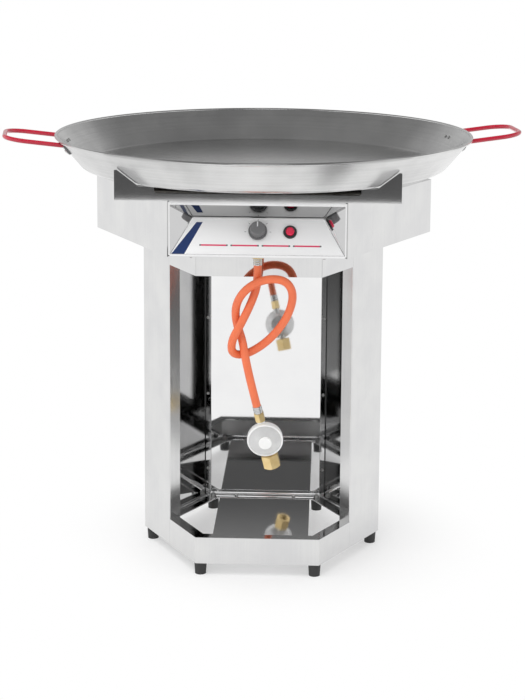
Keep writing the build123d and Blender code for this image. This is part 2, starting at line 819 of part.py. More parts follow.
# Knob on its spindle
knob_top = knob_gap + knob_height
spindle_top = knob_top - knob_roof
square_top = plug_front + knob_push + push_room
hollow_top = knob_gap + knob_hollow_depth
boss_foot = neck_height + knob_boss_gap
with BuildPart() as valve_spindle:
    with BuildSketch(knob_plane.offset(square_top)):
        Circle(spindle_diameter / 2)
    extrude(amount=spindle_top - square_top)
    with BuildSketch(knob_plane.offset(square_top)):
        Rectangle(spindle_square, spindle_square)
    extrude(amount=spindle_end - square_top)

with BuildPart() as gas_knob:
    with BuildSketch(knob_plane.offset(knob_gap)):
        Circle(knob_diameter / 2)
    extrude(amount=knob_skirt)
    with BuildSketch(knob_plane.offset(knob_gap + knob_skirt)):
        Circle(grip_diameter / 2)
    with BuildSketch(knob_plane.offset(knob_top)):
        Circle(knob_face_diameter / 2)
    loft()
    fillet(gas_knob.edges().sort_by(Axis(knob_plane.origin, knob_plane.z_dir))[-1], knob_rounding)
    with BuildSketch(knob_plane.offset(knob_gap)):
        Circle(knob_hollow_diameter / 2)
    extrude(amount=knob_hollow_depth, mode=Mode.SUBTRACT)
    with BuildSketch(knob_plane.offset(hollow_top)):
        Circle(knob_boss_diameter / 2)
    extrude(amount=boss_foot - hollow_top)
    with BuildSketch(knob_plane.offset(boss_foot)):
        Circle(spindle_diameter / 2 + running_clearance)
    extrude(amount=spindle_top - boss_foot, mode=Mode.SUBTRACT)

with BuildPart() as knob_pointer:
    with BuildSketch(knob_plane.offset(knob_top)):
        with Locations((0, knob_face_diameter / 2 - knob_rounding - pointer_length / 2)):
            Rectangle(pointer_width, pointer_length)
    extrude(amount=pointer_height)

# Push-button igniter
bezel_top = film + bezel_height
button_top = bezel_top + button_height
button_end = button_top - button_length
with BuildPart() as igniter_body:
    with BuildSketch(igniter_plane.offset(film)):
        Circle(bezel_diameter / 2)
    extrude(amount=bezel_height)
    fillet(
        igniter_body.edges().sort_by(Axis(igniter_plane.origin, igniter_plane.z_dir))[-1], bezel_rounding
    )
    with BuildSketch(igniter_plane.offset(film)):
        Circle(barrel_diameter / 2)
    extrude(amount=-barrel_length)
    with BuildSketch(igniter_plane.offset(film - barrel_length)):
        Circle(igniter_tail_diameter / 2)
    extrude(amount=-igniter_tail_length)
    with BuildSketch(igniter_plane.offset(bezel_top)):
        Circle(button_diameter / 2 + button_gap)
    extrude(amount=button_end - button_travel - button_room - bezel_top, mode=Mode.SUBTRACT)

barrel_nut = make_nut(igniter_nut_width, igniter_nut_height, barrel_diameter)
barrel_seat = igniter_plane.from_local_coords((0, 0, -sheet))
with BuildPart() as igniter_nut:
    place(barrel_nut, [Plane(origin=barrel_seat, x_dir=(1, 0, 0), z_dir=slope_out * -1)])

with BuildPart() as igniter_button:
    with BuildSketch(igniter_plane.offset(button_end)):
        Circle(button_diameter / 2)
    extrude(amount=button_length)
    fillet(
        igniter_button.edges().sort_by(Axis(igniter_plane.origin, igniter_plane.z_dir))[-1], button_rounding
    )

# Gas inlet through the tray
inlet_plane = Plane((0, inlet_y, stand_head))
hose_top = stand_head - inlet_hex_height - inlet_collar_length
with BuildPart() as inlet_fitting:
    with BuildSketch(inlet_plane):
        RegularPolygon(inlet_hex_width / 2, 6, major_radius=False)
    extrude(amount=-inlet_hex_height)
    with BuildSketch(inlet_plane):
        Circle(inlet_collar_diameter / 2)
    extrude(amount=-inlet_hex_height - inlet_collar_length)
    with BuildSketch(inlet_plane):
        Circle(inlet_thread_diameter / 2)
    extrude(amount=inlet_stud_top - stand_head)
    with BuildSketch(Plane((0, inlet_y, hose_top))):
        Circle(inlet_bore / 2)
    extrude(amount=inlet_stud_top - hose_top, mode=Mode.SUBTRACT)

stud_nut = make_nut(inlet_nut_width, inlet_nut_height, inlet_thread_diameter)
with BuildPart() as inlet_nut:
    place(stud_nut, [Plane((0, inlet_y, tray_top))])

# Star burner
burner_z = tray_top + burner_height
hub_radius = hub_diameter / 2
hub_bore = hub_radius - hub_wall
arm_bore = arm_diameter / 2 - arm_wall
arm_angles = [360 / arm_count * index for index in range(arm_count)]
arm_planes = [
    Plane(origin=(0, 0, burner_z), z_dir=Vector(1, 0, 0).rotate(Axis.Z, angle)) for angle in arm_angles
]
feed_plane = Plane(origin=(0, 0, feed_z), x_dir=(0, -1, 0), z_dir=(1, 0, 0))
feed_axis = Plane(origin=(0, 0, feed_z), z_dir=(0, -1, 0))
with BuildPart() as burner_hub:
    with BuildSketch(Plane.XY.offset(tray_top)):
        Circle(hub_flange_diameter / 2)
    extrude(amount=hub_flange_height)
    with BuildSketch(Plane.XY.offset(tray_top)):
        Circle(hub_radius)
    extrude(amount=hub_height)
    with BuildSketch(Plane.XY.offset(tray_top + hub_floor)):
        Circle(hub_bore)
    extrude(amount=hub_height - hub_floor, mode=Mode.SUBTRACT)
    for arm_plane in arm_planes:
        with BuildSketch(arm_plane):
            Circle(arm_bore)
        extrude(amount=hub_diameter, mode=Mode.SUBTRACT)
    with BuildSketch(feed_axis):
        Circle(mixing_diameter / 2 - mixing_wall)
    extrude(amount=hub_diameter, mode=Mode.SUBTRACT)
    drill(upright(hub_points, tray_top + hub_flange_height), screw_diameter, hub_flange_height)

hub_top = tray_top + hub_height
with BuildPart() as burner_cap:
    with BuildSketch(Plane.XY.offset(hub_top)):
        Circle(hub_radius + cap_overhang)
    extrude(amount=cap_height)
    fillet(burner_cap.edges().sort_by(Axis.Z)[-1], cap_rounding)
    with BuildSketch(Plane.XY.offset(hub_top)):
        Circle(hub_bore - hole_clearance)
    extrude(amount=-cap_plug)

with BuildPart() as burner_arms:
    for arm_plane in arm_planes:
        with BuildSketch(arm_plane.offset(hub_bore)):
            Circle(arm_diameter / 2)
        extrude(amount=arm_reach - hub_bore)
        with BuildSketch(arm_plane.offset(hub_bore)):
            Circle(arm_bore)
        extrude(amount=arm_reach - arm_wall - hub_bore, mode=Mode.SUBTRACT)
    with BuildSketch(Plane.XY.offset(burner_z + arm_diameter / 2 - slot_depth)):
        for angle in arm_angles:
            for reach in spread(hub_radius + slot_margin, arm_reach - slot_margin, slot_count):
                spot = Vector(reach, 0).rotate(Axis.Z, angle)
                with Locations((spot.X, spot.Y)):
                    Rectangle(slot_width, arm_diameter, rotation=angle)
    extrude(amount=2 * slot_depth, mode=Mode.SUBTRACT)
    with BuildSketch(Plane.XY.offset(tray_top)):
        Circle(hub_radius + seat_gap)
    extrude(amount=hub_height, mode=Mode.SUBTRACT)

# Mixing tube, with the injector in front of its mouth
mixing_radius = mixing_diameter / 2
with BuildPart() as mixing_tube:
    with BuildSketch(feed_plane):
        Polygon(
            (hub_bore, mixing_radius),
            (mouth_reach - mouth_length, mixing_radius),
            (mouth_reach, mixing_radius + mouth_flare),
            (mouth_reach, mixing_radius + mouth_flare - mixing_wall),
            (mouth_reach - mouth_length, mixing_radius - mixing_wall),
            (hub_bore, mixing_radius - mixing_wall),
            align=None,
        )
    revolve(axis=Axis(feed_axis.origin, feed_axis.z_dir))
    with BuildSketch(Plane.XY.offset(tray_top)):
        Circle(hub_radius + seat_gap)
    extrude(amount=hub_height, mode=Mode.SUBTRACT)

jet_front_y = jet_plate_y - jet_bracket_thickness
jet_hex_y = jet_front_y - jet_hex_length
with BuildPart() as jet_bracket:
    with BuildSketch(Plane.XZ.offset(-jet_plate_y)):
        with Locations((0, tray_top)):
            Rectangle(
                jet_bracket_width, feed_height + jet_bracket_rise, align=(Align.CENTER, Align.MIN)
            )
        with Locations((0, feed_z)):
            Circle(jet_diameter / 2 + hole_clearance, mode=Mode.SUBTRACT)
    extrude(amount=jet_bracket_thickness)
    with BuildSketch(Plane.XY.offset(tray_top)):
        with Locations((0, jet_foot_y)):
            Rectangle(jet_bracket_width, jet_bracket_foot)
    extrude(amount=jet_bracket_thickness)
    drill(upright(jet_points, tray_top + jet_bracket_thickness), screw_diameter, jet_bracket_thickness)

with BuildPart() as injector:
    with BuildSketch(feed_axis.offset(-jet_front_y)):
        RegularPolygon(jet_hex_width / 2, 6, major_radius=False)
    extrude(amount=jet_hex_length)
    with BuildSketch(feed_axis.offset(-jet_front_y)):
        Circle(jet_diameter / 2)
    extrude(amount=-jet_bracket_thickness - jet_length / 2)
    with BuildSketch(feed_axis.offset(-jet_plate_y - jet_length / 2)):
        Circle(jet_diameter / 2)
    with BuildSketch(feed_axis.offset(-jet_plate_y - jet_length)):
        Circle(jet_tip_diameter / 2)
    loft()
    with BuildSketch(feed_axis.offset(-jet_plate_y - jet_length)):
        Circle(jet_hole / 2)
    extrude(amount=jet_length + jet_bracket_thickness + jet_hex_length, mode=Mode.SUBTRACT)

with BuildPart() as feed_pipe:
    with BuildSketch(feed_axis.offset(-jet_hex_y)):
        Circle(feed_pipe_diameter / 2)
        Circle(feed_pipe_diameter / 2 - feed_pipe_wall, mode=Mode.SUBTRACT)
    extrude(amount=jet_hex_y - outlet_end)

# Bracket with the flame sensor and the spark electrode, beside one arm
tab_top = tray_top + ignition_height
bracket_plane = Plane(
    origin=ignition_origin - ignition_along * (ignition_length / 2),
    x_dir=(ignition_across.X, ignition_across.Y, 0),
    z_dir=(ignition_along.X, ignition_along.Y, 0),
)


def beside_arm(along, across, level):
    """Point beside the burner arm, from the middle of the bracket's tab."""
    spot = ignition_origin + ignition_along * along + ignition_across * across
    return Vector(spot.X, spot.Y, level)


probe_foot = beside_arm(-ignition_spacing / 2, 0, tab_top - probe_drop)
electrode_foot = beside_arm(ignition_spacing / 2, 0, tab_top - probe_drop)
tab_seats = [Plane(beside_arm(side * ignition_spacing / 2, 0, tab_top)) for side in (-1, 1)]
web_outer = ignition_tab - ignition_sheet
with BuildPart() as ignition_bracket:
    with BuildSketch(bracket_plane):
        Polygon(
            (-ignition_tab / 2, tab_top - ignition_sheet),
            (web_outer, tab_top - ignition_sheet),
            (web_outer, tray_top),
            (ignition_foot_end, tray_top),
            (ignition_foot_end, tray_top + ignition_sheet),
            (ignition_tab, tray_top + ignition_sheet),
            (ignition_tab, tab_top),
            (-ignition_tab / 2, tab_top),
            align=None,
        )
    extrude(amount=ignition_length)
    drill(tab_seats[:1], probe_diameter, ignition_sheet)
    drill(tab_seats[1:], ceramic_diameter, ignition_sheet)
    drill(upright(ignition_points, tray_top + ignition_sheet), screw_diameter, ignition_sheet)

socket_end = Vector(*socket_origin) + Vector(socket_length, 0, 0)
sensor_route = [
    socket_end,
    socket_end + Vector(11, 0, 0),
    socket_end + Vector(19, 20, -11),
    socket_end + Vector(24, 60, -15),
    probe_foot + Vector(-8, -28, -17),
    probe_foot + Vector(0, 0, -13),
    probe_foot,
]
sensor_lead = sweep_cord("thermocouple lead", sensor_route, lead_diameter)
with BuildPart() as thermocouple:
    with Locations(Plane(probe_foot)):
        Cylinder(probe_diameter / 2, probe_drop + probe_rise, align=STANDING)
    fillet(thermocouple.edges().sort_by(Axis.Z)[-1], probe_diameter / 4)
    with Locations(tab_seats[0]):
        Cylinder(probe_collar_diameter / 2, probe_collar_height, align=STANDING)
    add(sensor_lead.part)

hook_foot = Vector(electrode_foot.X, electrode_foot.Y, tab_top + ceramic_rise)
hook_top = hook_foot + Vector(0, 0, wire_rise)
with BuildPart() as spark_electrode:
    with Locations(Plane(electrode_foot)):
        Cylinder(ceramic_diameter / 2, probe_drop + ceramic_rise, align=STANDING)
    with Locations(tab_seats[1]):
        Cylinder(probe_collar_diameter / 2, probe_collar_height, align=STANDING)
    with Locations(Plane(hook_foot)):
        Cylinder(wire_diameter / 2, wire_rise, align=STANDING)
    with Locations(Plane(hook_top, z_dir=ignition_across * -1)):
        Cylinder(wire_diameter / 2, wire_hook, align=STANDING)
    with Locations(Plane(hook_top)):
        Sphere(wire_diameter / 2)

igniter_tail = igniter_plane.from_local_coords((0, 0, film - barrel_length - igniter_tail_length))
spark_route = [
    igniter_tail,
    igniter_tail - slope_out * 11,
    igniter_tail + Vector(9, 30, -10),
    igniter_tail + Vector(22, 66, -11),
    electrode_foot + Vector(1, -18, -16),
    electrode_foot + Vector(0, 0, -12),
    electrode_foot,
]
igniter_lead = sweep_cord("igniter lead", spark_route, lead_diameter)

# Pan supports, which stand on the front and rear folds of the housing
wall_slope = math.tan(math.radians(pan_lean))
bead_radius = bead_diameter / 2
bead_circle = pan_radius - bead_radius
bead_z = pan_foot + pan_depth - bead_radius
pan_base = bead_circle - (bead_z - pan_foot) * wall_slope
support_front = -housing_apothem + support_setback
support_back = support_front + support_thickness
horn_top = housing_head + horn_height


def beside_pan(level):
    """Distance from the middle at which a support clears the pan's wall at a level."""
    radius = pan_base + (level - pan_foot) * wall_slope
    return math.sqrt(radius ** 2 - support_back ** 2) + horn_gap


horn_foot_x = beside_pan(pan_foot)
horn_top_x = beside_pan(horn_top)
shoulder_x = horn_foot_x - shoulder_length
half_outline = [
    (horn_top_x + horn_tip, housing_head),
    (horn_top_x + horn_tip, horn_top),
    (horn_top_x, horn_top),
    (horn_foot_x, pan_foot),
    (shoulder_x, pan_foot),
    (shoulder_x, housing_head + support_web),
]
support_outline = half_outline + [(-x, z) for x, z in reversed(half_outline)]
with BuildPart() as pan_support_front:
    with BuildSketch(Plane.XZ.offset(-support_front)) as support_face:
        Polygon(*support_outline, align=None)
        tips = support_face.vertices().group_by(Axis.Y)[-1]
        fillet(tips, tip_rounding)
        shoulders = support_face.vertices().filter_by(lambda spot: abs(abs(spot.X) - shoulder_x) < seat_gap)
        fillet(shoulders, shoulder_rounding)
    extrude(amount=-support_thickness)
    with BuildSketch(Plane.XY.offset(housing_head)):
        with Locations((0, support_front)):
            Rectangle(support_foot_width, support_foot_depth, align=(Align.CENTER, Align.MIN))
    extrude(amount=support_thickness)
    drill(support_seats, screw_diameter, support_thickness)

with BuildPart() as pan_support_rear:
    mirror(pan_support_front.part, about=Plane.XZ)

housing_screw = make_pin(screw_diameter, screw_length, screw_head, screw_head_height)
with BuildPart() as housing_screws:
    place(housing_screw, tray_seats + support_seats)

# Pan
with BuildPart() as pan_space:
    with BuildSketch(Plane.XZ):
        Polygon(
            (0, pan_foot),
            (pan_base + seat_gap, pan_foot),
            (bead_circle + seat_gap, bead_z),
            (0, bead_z),
            align=None,
        )
    revolve(axis=Axis.Z)


def wall_plane(turn, across, down):
    """Plane that touches the outside of the pan's wall, a distance down from the bead and across."""
    level = bead_z - down * math.cos(math.radians(pan_lean))
    radius = pan_base + (level - pan_foot) * wall_slope
    angle = turn + math.degrees(math.asin(across / radius))
    out = Vector(1, 0, 0).rotate(Axis.Z, angle)
    normal = out * math.cos(math.radians(pan_lean)) - Vector(0, 0, math.sin(math.radians(pan_lean)))
    sideways = Vector(0, 1, 0).rotate(Axis.Z, angle)
    return Plane(origin=out * radius + Vector(0, 0, level), x_dir=sideways, z_dir=normal)


def pad_planes(turn):
    """Planes of the two pads of a handle."""
    return [wall_plane(turn, side * handle_width / 2, pad_drop) for side in (-1, 1)]


def pad_seats(turn):
    """Seats of a handle's rivets on the outside of its pads."""
    return [
        Plane(
            origin=plane.from_local_coords((side * pad_rivet_spacing / 2, -pad_rivet_drop, pad_thickness)),
            x_dir=plane.x_dir,
            z_dir=plane.z_dir,
        )
        for plane in pad_planes(turn)
        for side in (-1, 1)
    ]


handle_turns = {"left": 180 + pan_turn, "right": pan_turn}
handle_seats = pad_seats(handle_turns["left"]) + pad_seats(handle_turns["right"])
pan_grip = pad_thickness + pan_sheet + rivet_slack
with BuildPart() as pan_bowl:
    with BuildSketch(Plane.XZ):
        with BuildLine():
            FilletPolyline((0, pan_foot), (pan_base, pan_foot), (bead_circle, bead_z), radius=pan_corner)
            offset(amount=pan_sheet, side=Side.LEFT)
        make_face()
        with Locations((bead_circle, bead_z)):
            Circle(bead_radius)
    revolve(axis=Axis.Z)
    drill(handle_seats, rivet_diameter, pan_grip)

handle_reach = pan_radius + handle_length
leg_x = math.sqrt(bead_circle ** 2 - (handle_width / 2) ** 2)
rise = math.radians(handle_rise)
leg_z = bead_z - (bead_radius + handle_rim_gap + handle_rod / 2) / math.cos(rise)
rod_reach = (handle_reach - handle_rod / 2 - leg_x) / math.cos(rise)
rod_half = handle_width / 2


def make_handle(turn):
    """Bent rod with a riveted pad at each end, under the rim of the pan."""
    out = Vector(1, 0, 0).rotate(Axis.Z, turn)
    rod_plane = Plane(
        origin=out * leg_x + Vector(0, 0, leg_z),
        x_dir=out * math.cos(rise) + Vector(0, 0, math.sin(rise)),
        z_dir=out * -math.sin(rise) + Vector(0, 0, math.cos(rise)),
    )
    with BuildPart() as handle:
        with BuildLine(rod_plane) as path:
            FilletPolyline(
                (-handle_root, -rod_half),
                (rod_reach, -rod_half),
                (rod_reach, rod_half),
                (-handle_root, rod_half),
                radius=handle_corner,
            )
        with BuildSketch(Plane(origin=path.line @ 0, z_dir=path.line % 0)):
            Circle(handle_rod / 2)
        sweep()
        for plane in pad_planes(turn):
            with BuildSketch(plane.offset(-pad_sink)):
                RectangleRounded(pad_width, pad_height, pad_rounding)
            extrude(amount=pad_sink + pad_thickness)
        add(pan_space.part, mode=Mode.SUBTRACT)
        drill(pad_seats(turn), rivet_diameter, pan_grip)
    return handle


handle_left = make_handle(handle_turns["left"])
handle_right = make_handle(handle_turns["right"])

handle_rivet = make_rivet(pan_grip)
with BuildPart() as handle_rivets:
    place(handle_rivet, handle_seats)

# Hose and regulator
hose_points = [Vector(*point) + Vector(0, inlet_y, hose_top) for point in hose_route]
hose_end = hose_points[-1]
hose_down = (hose_points[-1] - hose_points[-2]).normalized()
regulator_face = (FRONT - hose_down * FRONT.dot(hose_down)).normalized()
gas_way = Plane(origin=hose_end, x_dir=regulator_face, z_dir=hose_down)
nut_start = ferrule_length
neck_start = nut_start + hose_nut_length
disc_middle = neck_start + regulator_drop
disc_edge = disc_middle + regulator_diameter / 2
cylinder_nut_start = disc_edge + cylinder_nut_gap
cylinder_nut_end = cylinder_nut_start + cylinder_nut_length
nose_start = cylinder_nut_start + cylinder_nut_floor + nut_play
nose_end = nose_start + spigot_nose_length
thread_start = nose_end + seal_thickness + thread_relief
disc_plane = Plane(
    origin=gas_way.from_local_coords((0, 0, disc_middle)), x_dir=hose_down * -1, z_dir=regulator_face
)
disc_axis = Axis(disc_plane.origin, disc_plane.z_dir)
disc_section = Plane(origin=disc_plane.origin, x_dir=disc_plane.x_dir, z_dir=disc_plane.y_dir * -1)

gas_hose = sweep_cord("gas hose", hose_points, hose_diameter)

with BuildPart() as hose_ferrule:
    with BuildSketch(gas_way):
        Circle(ferrule_diameter / 2)
    extrude(amount=ferrule_length)

with BuildPart() as hose_nut:
    with BuildSketch(gas_way.offset(nut_start)):
        RegularPolygon(hose_nut_width / 2, 6, major_radius=False)
    extrude(amount=hose_nut_length)

disc_radius = regulator_diameter / 2
back_radius = regulator_back_diameter / 2
with BuildPart() as regulator_body:
    with BuildSketch(disc_section):
        Polygon(
            (0, -regulator_back),
            (back_radius, -regulator_back),
            (disc_radius, 0),
            (disc_radius, regulator_seat),
            (0, regulator_seat),
            align=None,
        )
    revolve(axis=disc_axis)
    with BuildSketch(gas_way.offset(neck_start)):
        Circle(regulator_neck_diameter / 2)
    extrude(amount=regulator_drop - disc_radius + regulator_neck_root)
    with BuildSketch(gas_way.offset(disc_edge - spigot_root)):
        Circle(spigot_diameter / 2)
    extrude(amount=nose_start - disc_edge + spigot_root)
    with BuildSketch(gas_way.offset(nose_start)):
        Circle(spigot_nose_diameter / 2)
    extrude(amount=spigot_nose_length)
    with BuildSketch(gas_way.offset(nose_end)):
        Circle(spigot_bore / 2)
    extrude(amount=disc_middle - nose_end, mode=Mode.SUBTRACT)
    with BuildSketch(disc_section):
        Polygon(
            (0, regulator_wall - regulator_back),
            (back_radius - regulator_wall, regulator_wall - regulator_back),
            (disc_radius - regulator_wall, 0),
            (disc_radius - regulator_wall, regulator_seat),
            (0, regulator_seat),
            align=None,
        )
    revolve(axis=disc_axis, mode=Mode.SUBTRACT)

diaphragm_radius = disc_radius - regulator_wall / 2
with BuildPart() as regulator_diaphragm:
    with BuildSketch(disc_plane.offset(regulator_seat)):
        Circle(diaphragm_radius)
    extrude(amount=diaphragm_thickness)

cover_foot = regulator_seat
cover_top = regulator_seat + cover_height
cover_radius = cover_top_diameter / 2
with BuildPart() as regulator_cover:
    with BuildSketch(disc_section):
        Polygon(
            (0, cover_foot),
            (disc_radius, cover_foot),
            (disc_radius, cover_foot + cover_rim),
            (cover_radius, cover_top),
            (0, cover_top),
            align=None,
        )
        Polygon(
            (0, cover_foot),
            (diaphragm_radius, cover_foot),
            (diaphragm_radius, cover_foot + diaphragm_thickness),
            (disc_radius - regulator_wall, cover_foot + diaphragm_thickness),
            (cover_radius - cover_wall, cover_top - cover_wall),
            (0, cover_top - cover_wall),
            align=None,
            mode=Mode.SUBTRACT,
        )
    revolve(axis=disc_axis)

with BuildPart() as regulator_cap:
    with BuildSketch(disc_plane.offset(cover_top)):
        Circle(regulator_cap_diameter / 2)
    extrude(amount=regulator_cap_height)
    fillet(regulator_cap.edges().sort_by(disc_axis)[-1], regulator_cap_rounding)

with BuildPart() as nut_seal:
    with BuildSketch(gas_way.offset(nose_end)):
        Circle(spigot_nose_diameter / 2)
        Circle(spigot_bore / 2, mode=Mode.SUBTRACT)
    extrude(amount=seal_thickness)

with BuildPart() as cylinder_nut:
    with BuildSketch(gas_way.offset(cylinder_nut_start)):
        RegularPolygon(cylinder_nut_width / 2, 6, major_radius=False)
        Circle(spigot_diameter / 2 + nut_play, mode=Mode.SUBTRACT)
    extrude(amount=cylinder_nut_length)
    with BuildSketch(gas_way.offset(cylinder_nut_start + cylinder_nut_floor)):
        Circle(cylinder_thread_diameter / 2)
    extrude(amount=cylinder_nut_length - cylinder_nut_floor, mode=Mode.SUBTRACT)
    with BuildSketch(gas_way.offset(cylinder_nut_start + cylinder_nut_floor)):
        Circle(cylinder_thread_diameter / 2 + thread_relief)
    extrude(amount=thread_start - cylinder_nut_start - cylinder_nut_floor, mode=Mode.SUBTRACT)

# Every piece under its own name
pieces = {
    "side_panel_left": side_panel_left,
    "side_panel_right": side_panel_right,
    "rear_panel": rear_panel,
    "front_plinth": front_plinth,
    "front_lintel": front_lintel,
    "cylinder_shelf": cylinder_shelf,
    "rubber_feet": rubber_feet,
    "foot_screws": foot_screws,
    "corner_nuts": corner_nuts,
    "stand_bolts": stand_bolts,
    "sheet_rivets": sheet_rivets,
    "burner_tray": burner_tray,
    "housing_side_left": housing_side_left,
    "housing_side_right": housing_side_right,
    "housing_rear": housing_rear,
    "fascia": fascia,
    "niche_cheek_left": niche_cheek_left,
    "niche_cheek_right": niche_cheek_right,
    "control_overlay": control_overlay,
    "gas_valve": gas_valve,
    "valve_nut": valve_nut,
    "valve_plug": valve_plug,
    "valve_spindle": valve_spindle,
    "gas_knob": gas_knob,
    "knob_pointer": knob_pointer,
    "igniter_body": igniter_body,
    "igniter_nut": igniter_nut,
    "igniter_button": igniter_button,
    "igniter_lead": igniter_lead,
    "inlet_fitting": inlet_fitting,
    "inlet_nut": inlet_nut,
    "burner_hub": burner_hub,
    "burner_cap": burner_cap,
    "burner_arms": burner_arms,
    "mixing_tube": mixing_tube,
    "jet_bracket": jet_bracket,
    "injector": injector,
    "feed_pipe": feed_pipe,
    "ignition_bracket": ignition_bracket,
    "thermocouple": thermocouple,
    "spark_electrode": spark_electrode,
    "pan_support_front": pan_support_front,
    "pan_support_rear": pan_support_rear,
    "housing_screws": housing_screws,
    "pan_bowl": pan_bowl,
    "handle_left": handle_left,
    "handle_right": handle_right,
    "handle_rivets": handle_rivets,
    "gas_hose": gas_hose,
    "hose_ferrule": hose_ferrule,
    "hose_nut": hose_nut,
    "regulator_body": regulator_body,
    "regulator_diaphragm": regulator_diaphragm,
    "regulator_cover": regulator_cover,
    "regulator_cap": regulator_cap,
    "nut_seal": nut_seal,
    "cylinder_nut": cylinder_nut,
}
os.makedirs("parts", exist_ok=True)
for name, piece in pieces.items():
    piece.part.label = name
    export_step(piece.part, f"parts/{name}.step")
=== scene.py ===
"""Looks of the gas barbecue: finishes, hose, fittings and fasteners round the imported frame.

Lengths are in metres, in the frame of the CAD model: +Z is up and the controls face -Y.
"""

import json
import logging
import math
from dataclasses import dataclass
from enum import Enum
from typing import Any, Callable, Sequence

import bmesh
import bpy
import numpy as np
from mathutils import Matrix, Vector

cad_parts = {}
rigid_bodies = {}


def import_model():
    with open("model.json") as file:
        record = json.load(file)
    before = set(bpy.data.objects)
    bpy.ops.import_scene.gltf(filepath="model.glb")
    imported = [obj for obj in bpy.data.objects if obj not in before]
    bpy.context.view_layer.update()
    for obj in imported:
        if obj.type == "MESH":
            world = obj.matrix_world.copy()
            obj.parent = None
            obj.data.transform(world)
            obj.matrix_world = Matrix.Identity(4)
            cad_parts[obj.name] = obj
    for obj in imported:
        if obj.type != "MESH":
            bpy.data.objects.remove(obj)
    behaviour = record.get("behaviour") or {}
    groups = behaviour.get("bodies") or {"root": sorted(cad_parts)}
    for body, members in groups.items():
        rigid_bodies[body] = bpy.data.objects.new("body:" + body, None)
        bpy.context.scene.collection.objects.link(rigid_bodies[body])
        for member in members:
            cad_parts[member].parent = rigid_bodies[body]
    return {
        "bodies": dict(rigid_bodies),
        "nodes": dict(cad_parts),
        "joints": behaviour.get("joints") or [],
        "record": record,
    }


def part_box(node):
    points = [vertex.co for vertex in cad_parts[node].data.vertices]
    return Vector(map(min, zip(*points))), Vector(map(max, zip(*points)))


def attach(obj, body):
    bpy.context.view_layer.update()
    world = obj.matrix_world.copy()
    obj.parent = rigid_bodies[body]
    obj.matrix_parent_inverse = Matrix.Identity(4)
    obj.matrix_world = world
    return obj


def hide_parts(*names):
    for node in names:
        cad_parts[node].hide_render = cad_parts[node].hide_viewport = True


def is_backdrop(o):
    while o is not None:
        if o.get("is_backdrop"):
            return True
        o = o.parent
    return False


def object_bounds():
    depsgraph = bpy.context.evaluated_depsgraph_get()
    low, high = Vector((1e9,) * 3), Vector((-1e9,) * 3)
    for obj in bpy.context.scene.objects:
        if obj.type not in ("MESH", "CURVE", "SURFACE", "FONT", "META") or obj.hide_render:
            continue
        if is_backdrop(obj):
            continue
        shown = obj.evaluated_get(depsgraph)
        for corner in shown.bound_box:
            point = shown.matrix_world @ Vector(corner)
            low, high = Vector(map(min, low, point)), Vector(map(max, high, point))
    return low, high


log = logging.getLogger("gas_barbecue")

Colour = tuple[float, float, float]
Triple = tuple[float, float, float]
Pair = tuple[float, float]
Fade = tuple[float, float, float, float]
Reach = float | Callable[[float], float]
Profile = Sequence[tuple[Reach, Reach]]

MM = 0.001
SHEET = 1.5 * MM
MERGE = 0.0005 * MM
FRONT = Vector((0, -1, 0))
WHITE = (1, 1, 1, 1)
NOISE_MIDDLE = 0.5

# Numbers of sockets, where a node has several with one name
MIX_SHARE, MIX_FIRST, MIX_SECOND, MIX_RESULT = 0, 6, 7, 2
RANDOM_LEAST, RANDOM_MOST, RANDOM_RESULT = 2, 3, 1


class Link:
    """A value in a node tree, with arithmetic that adds Math nodes."""

    def __init__(self, graph: "Graph", socket: bpy.types.NodeSocket) -> None:
        """Keep the socket and the tree that it is in."""
        self.graph = graph
        self.socket = socket

    def _math(self, operation: str, first: Any, second: Any = 0.0) -> "Link":
        """Add a Math node on two values.

        Args:
            operation: Name of the Math node's operation.
            first: A link or a number.
            second: A link or a number.

        Returns:
            The node's result.
        """
        node = self.graph.node("ShaderNodeMath", {"operation": operation}, {0: first, 1: second})
        return Link(self.graph, node.outputs[0])

    def __add__(self, other: Any) -> "Link":
        """Sum."""
        return self._math("ADD", self, other)

    __radd__ = __add__

    def __sub__(self, other: Any) -> "Link":
        """Difference."""
        return self._math("SUBTRACT", self, other)

    def __rsub__(self, other: Any) -> "Link":
        """Difference from a number."""
        return self._math("SUBTRACT", other, self)

    def __mul__(self, other: Any) -> "Link":
        """Product."""
        return self._math("MULTIPLY", self, other)

    __rmul__ = __mul__

    def __truediv__(self, other: Any) -> "Link":
        """Quotient."""
        return self._math("DIVIDE", self, other)

    def __pow__(self, other: Any) -> "Link":
        """Power."""
        return self._math("POWER", self, other)

    def __abs__(self) -> "Link":
        """Size without sign."""
        return self._math("ABSOLUTE", self)

    def larger(self, other: Any) -> "Link":
        """Larger of two values."""
        return self._math("MAXIMUM", self, other)

    def rise(self, low: float, high: float) -> "Link":
        """Smooth step from 0 at low to 1 at high, where low may be the larger."""
        node = self.graph.node(
            "ShaderNodeMapRange",
            {"interpolation_type": "SMOOTHSTEP"},
            {"Value": self, "From Min": low, "From Max": high},
        )
        return Link(self.graph, node.outputs[0])

    def above(self, level: float, soft: float) -> "Link":
        """Mask that is 1 above a level, with a soft edge."""
        return self.rise(level - soft, level + soft)

    def below(self, level: float, soft: float) -> "Link":
        """Mask that is 1 below a level, with a soft edge."""
        return self.rise(level + soft, level - soft)


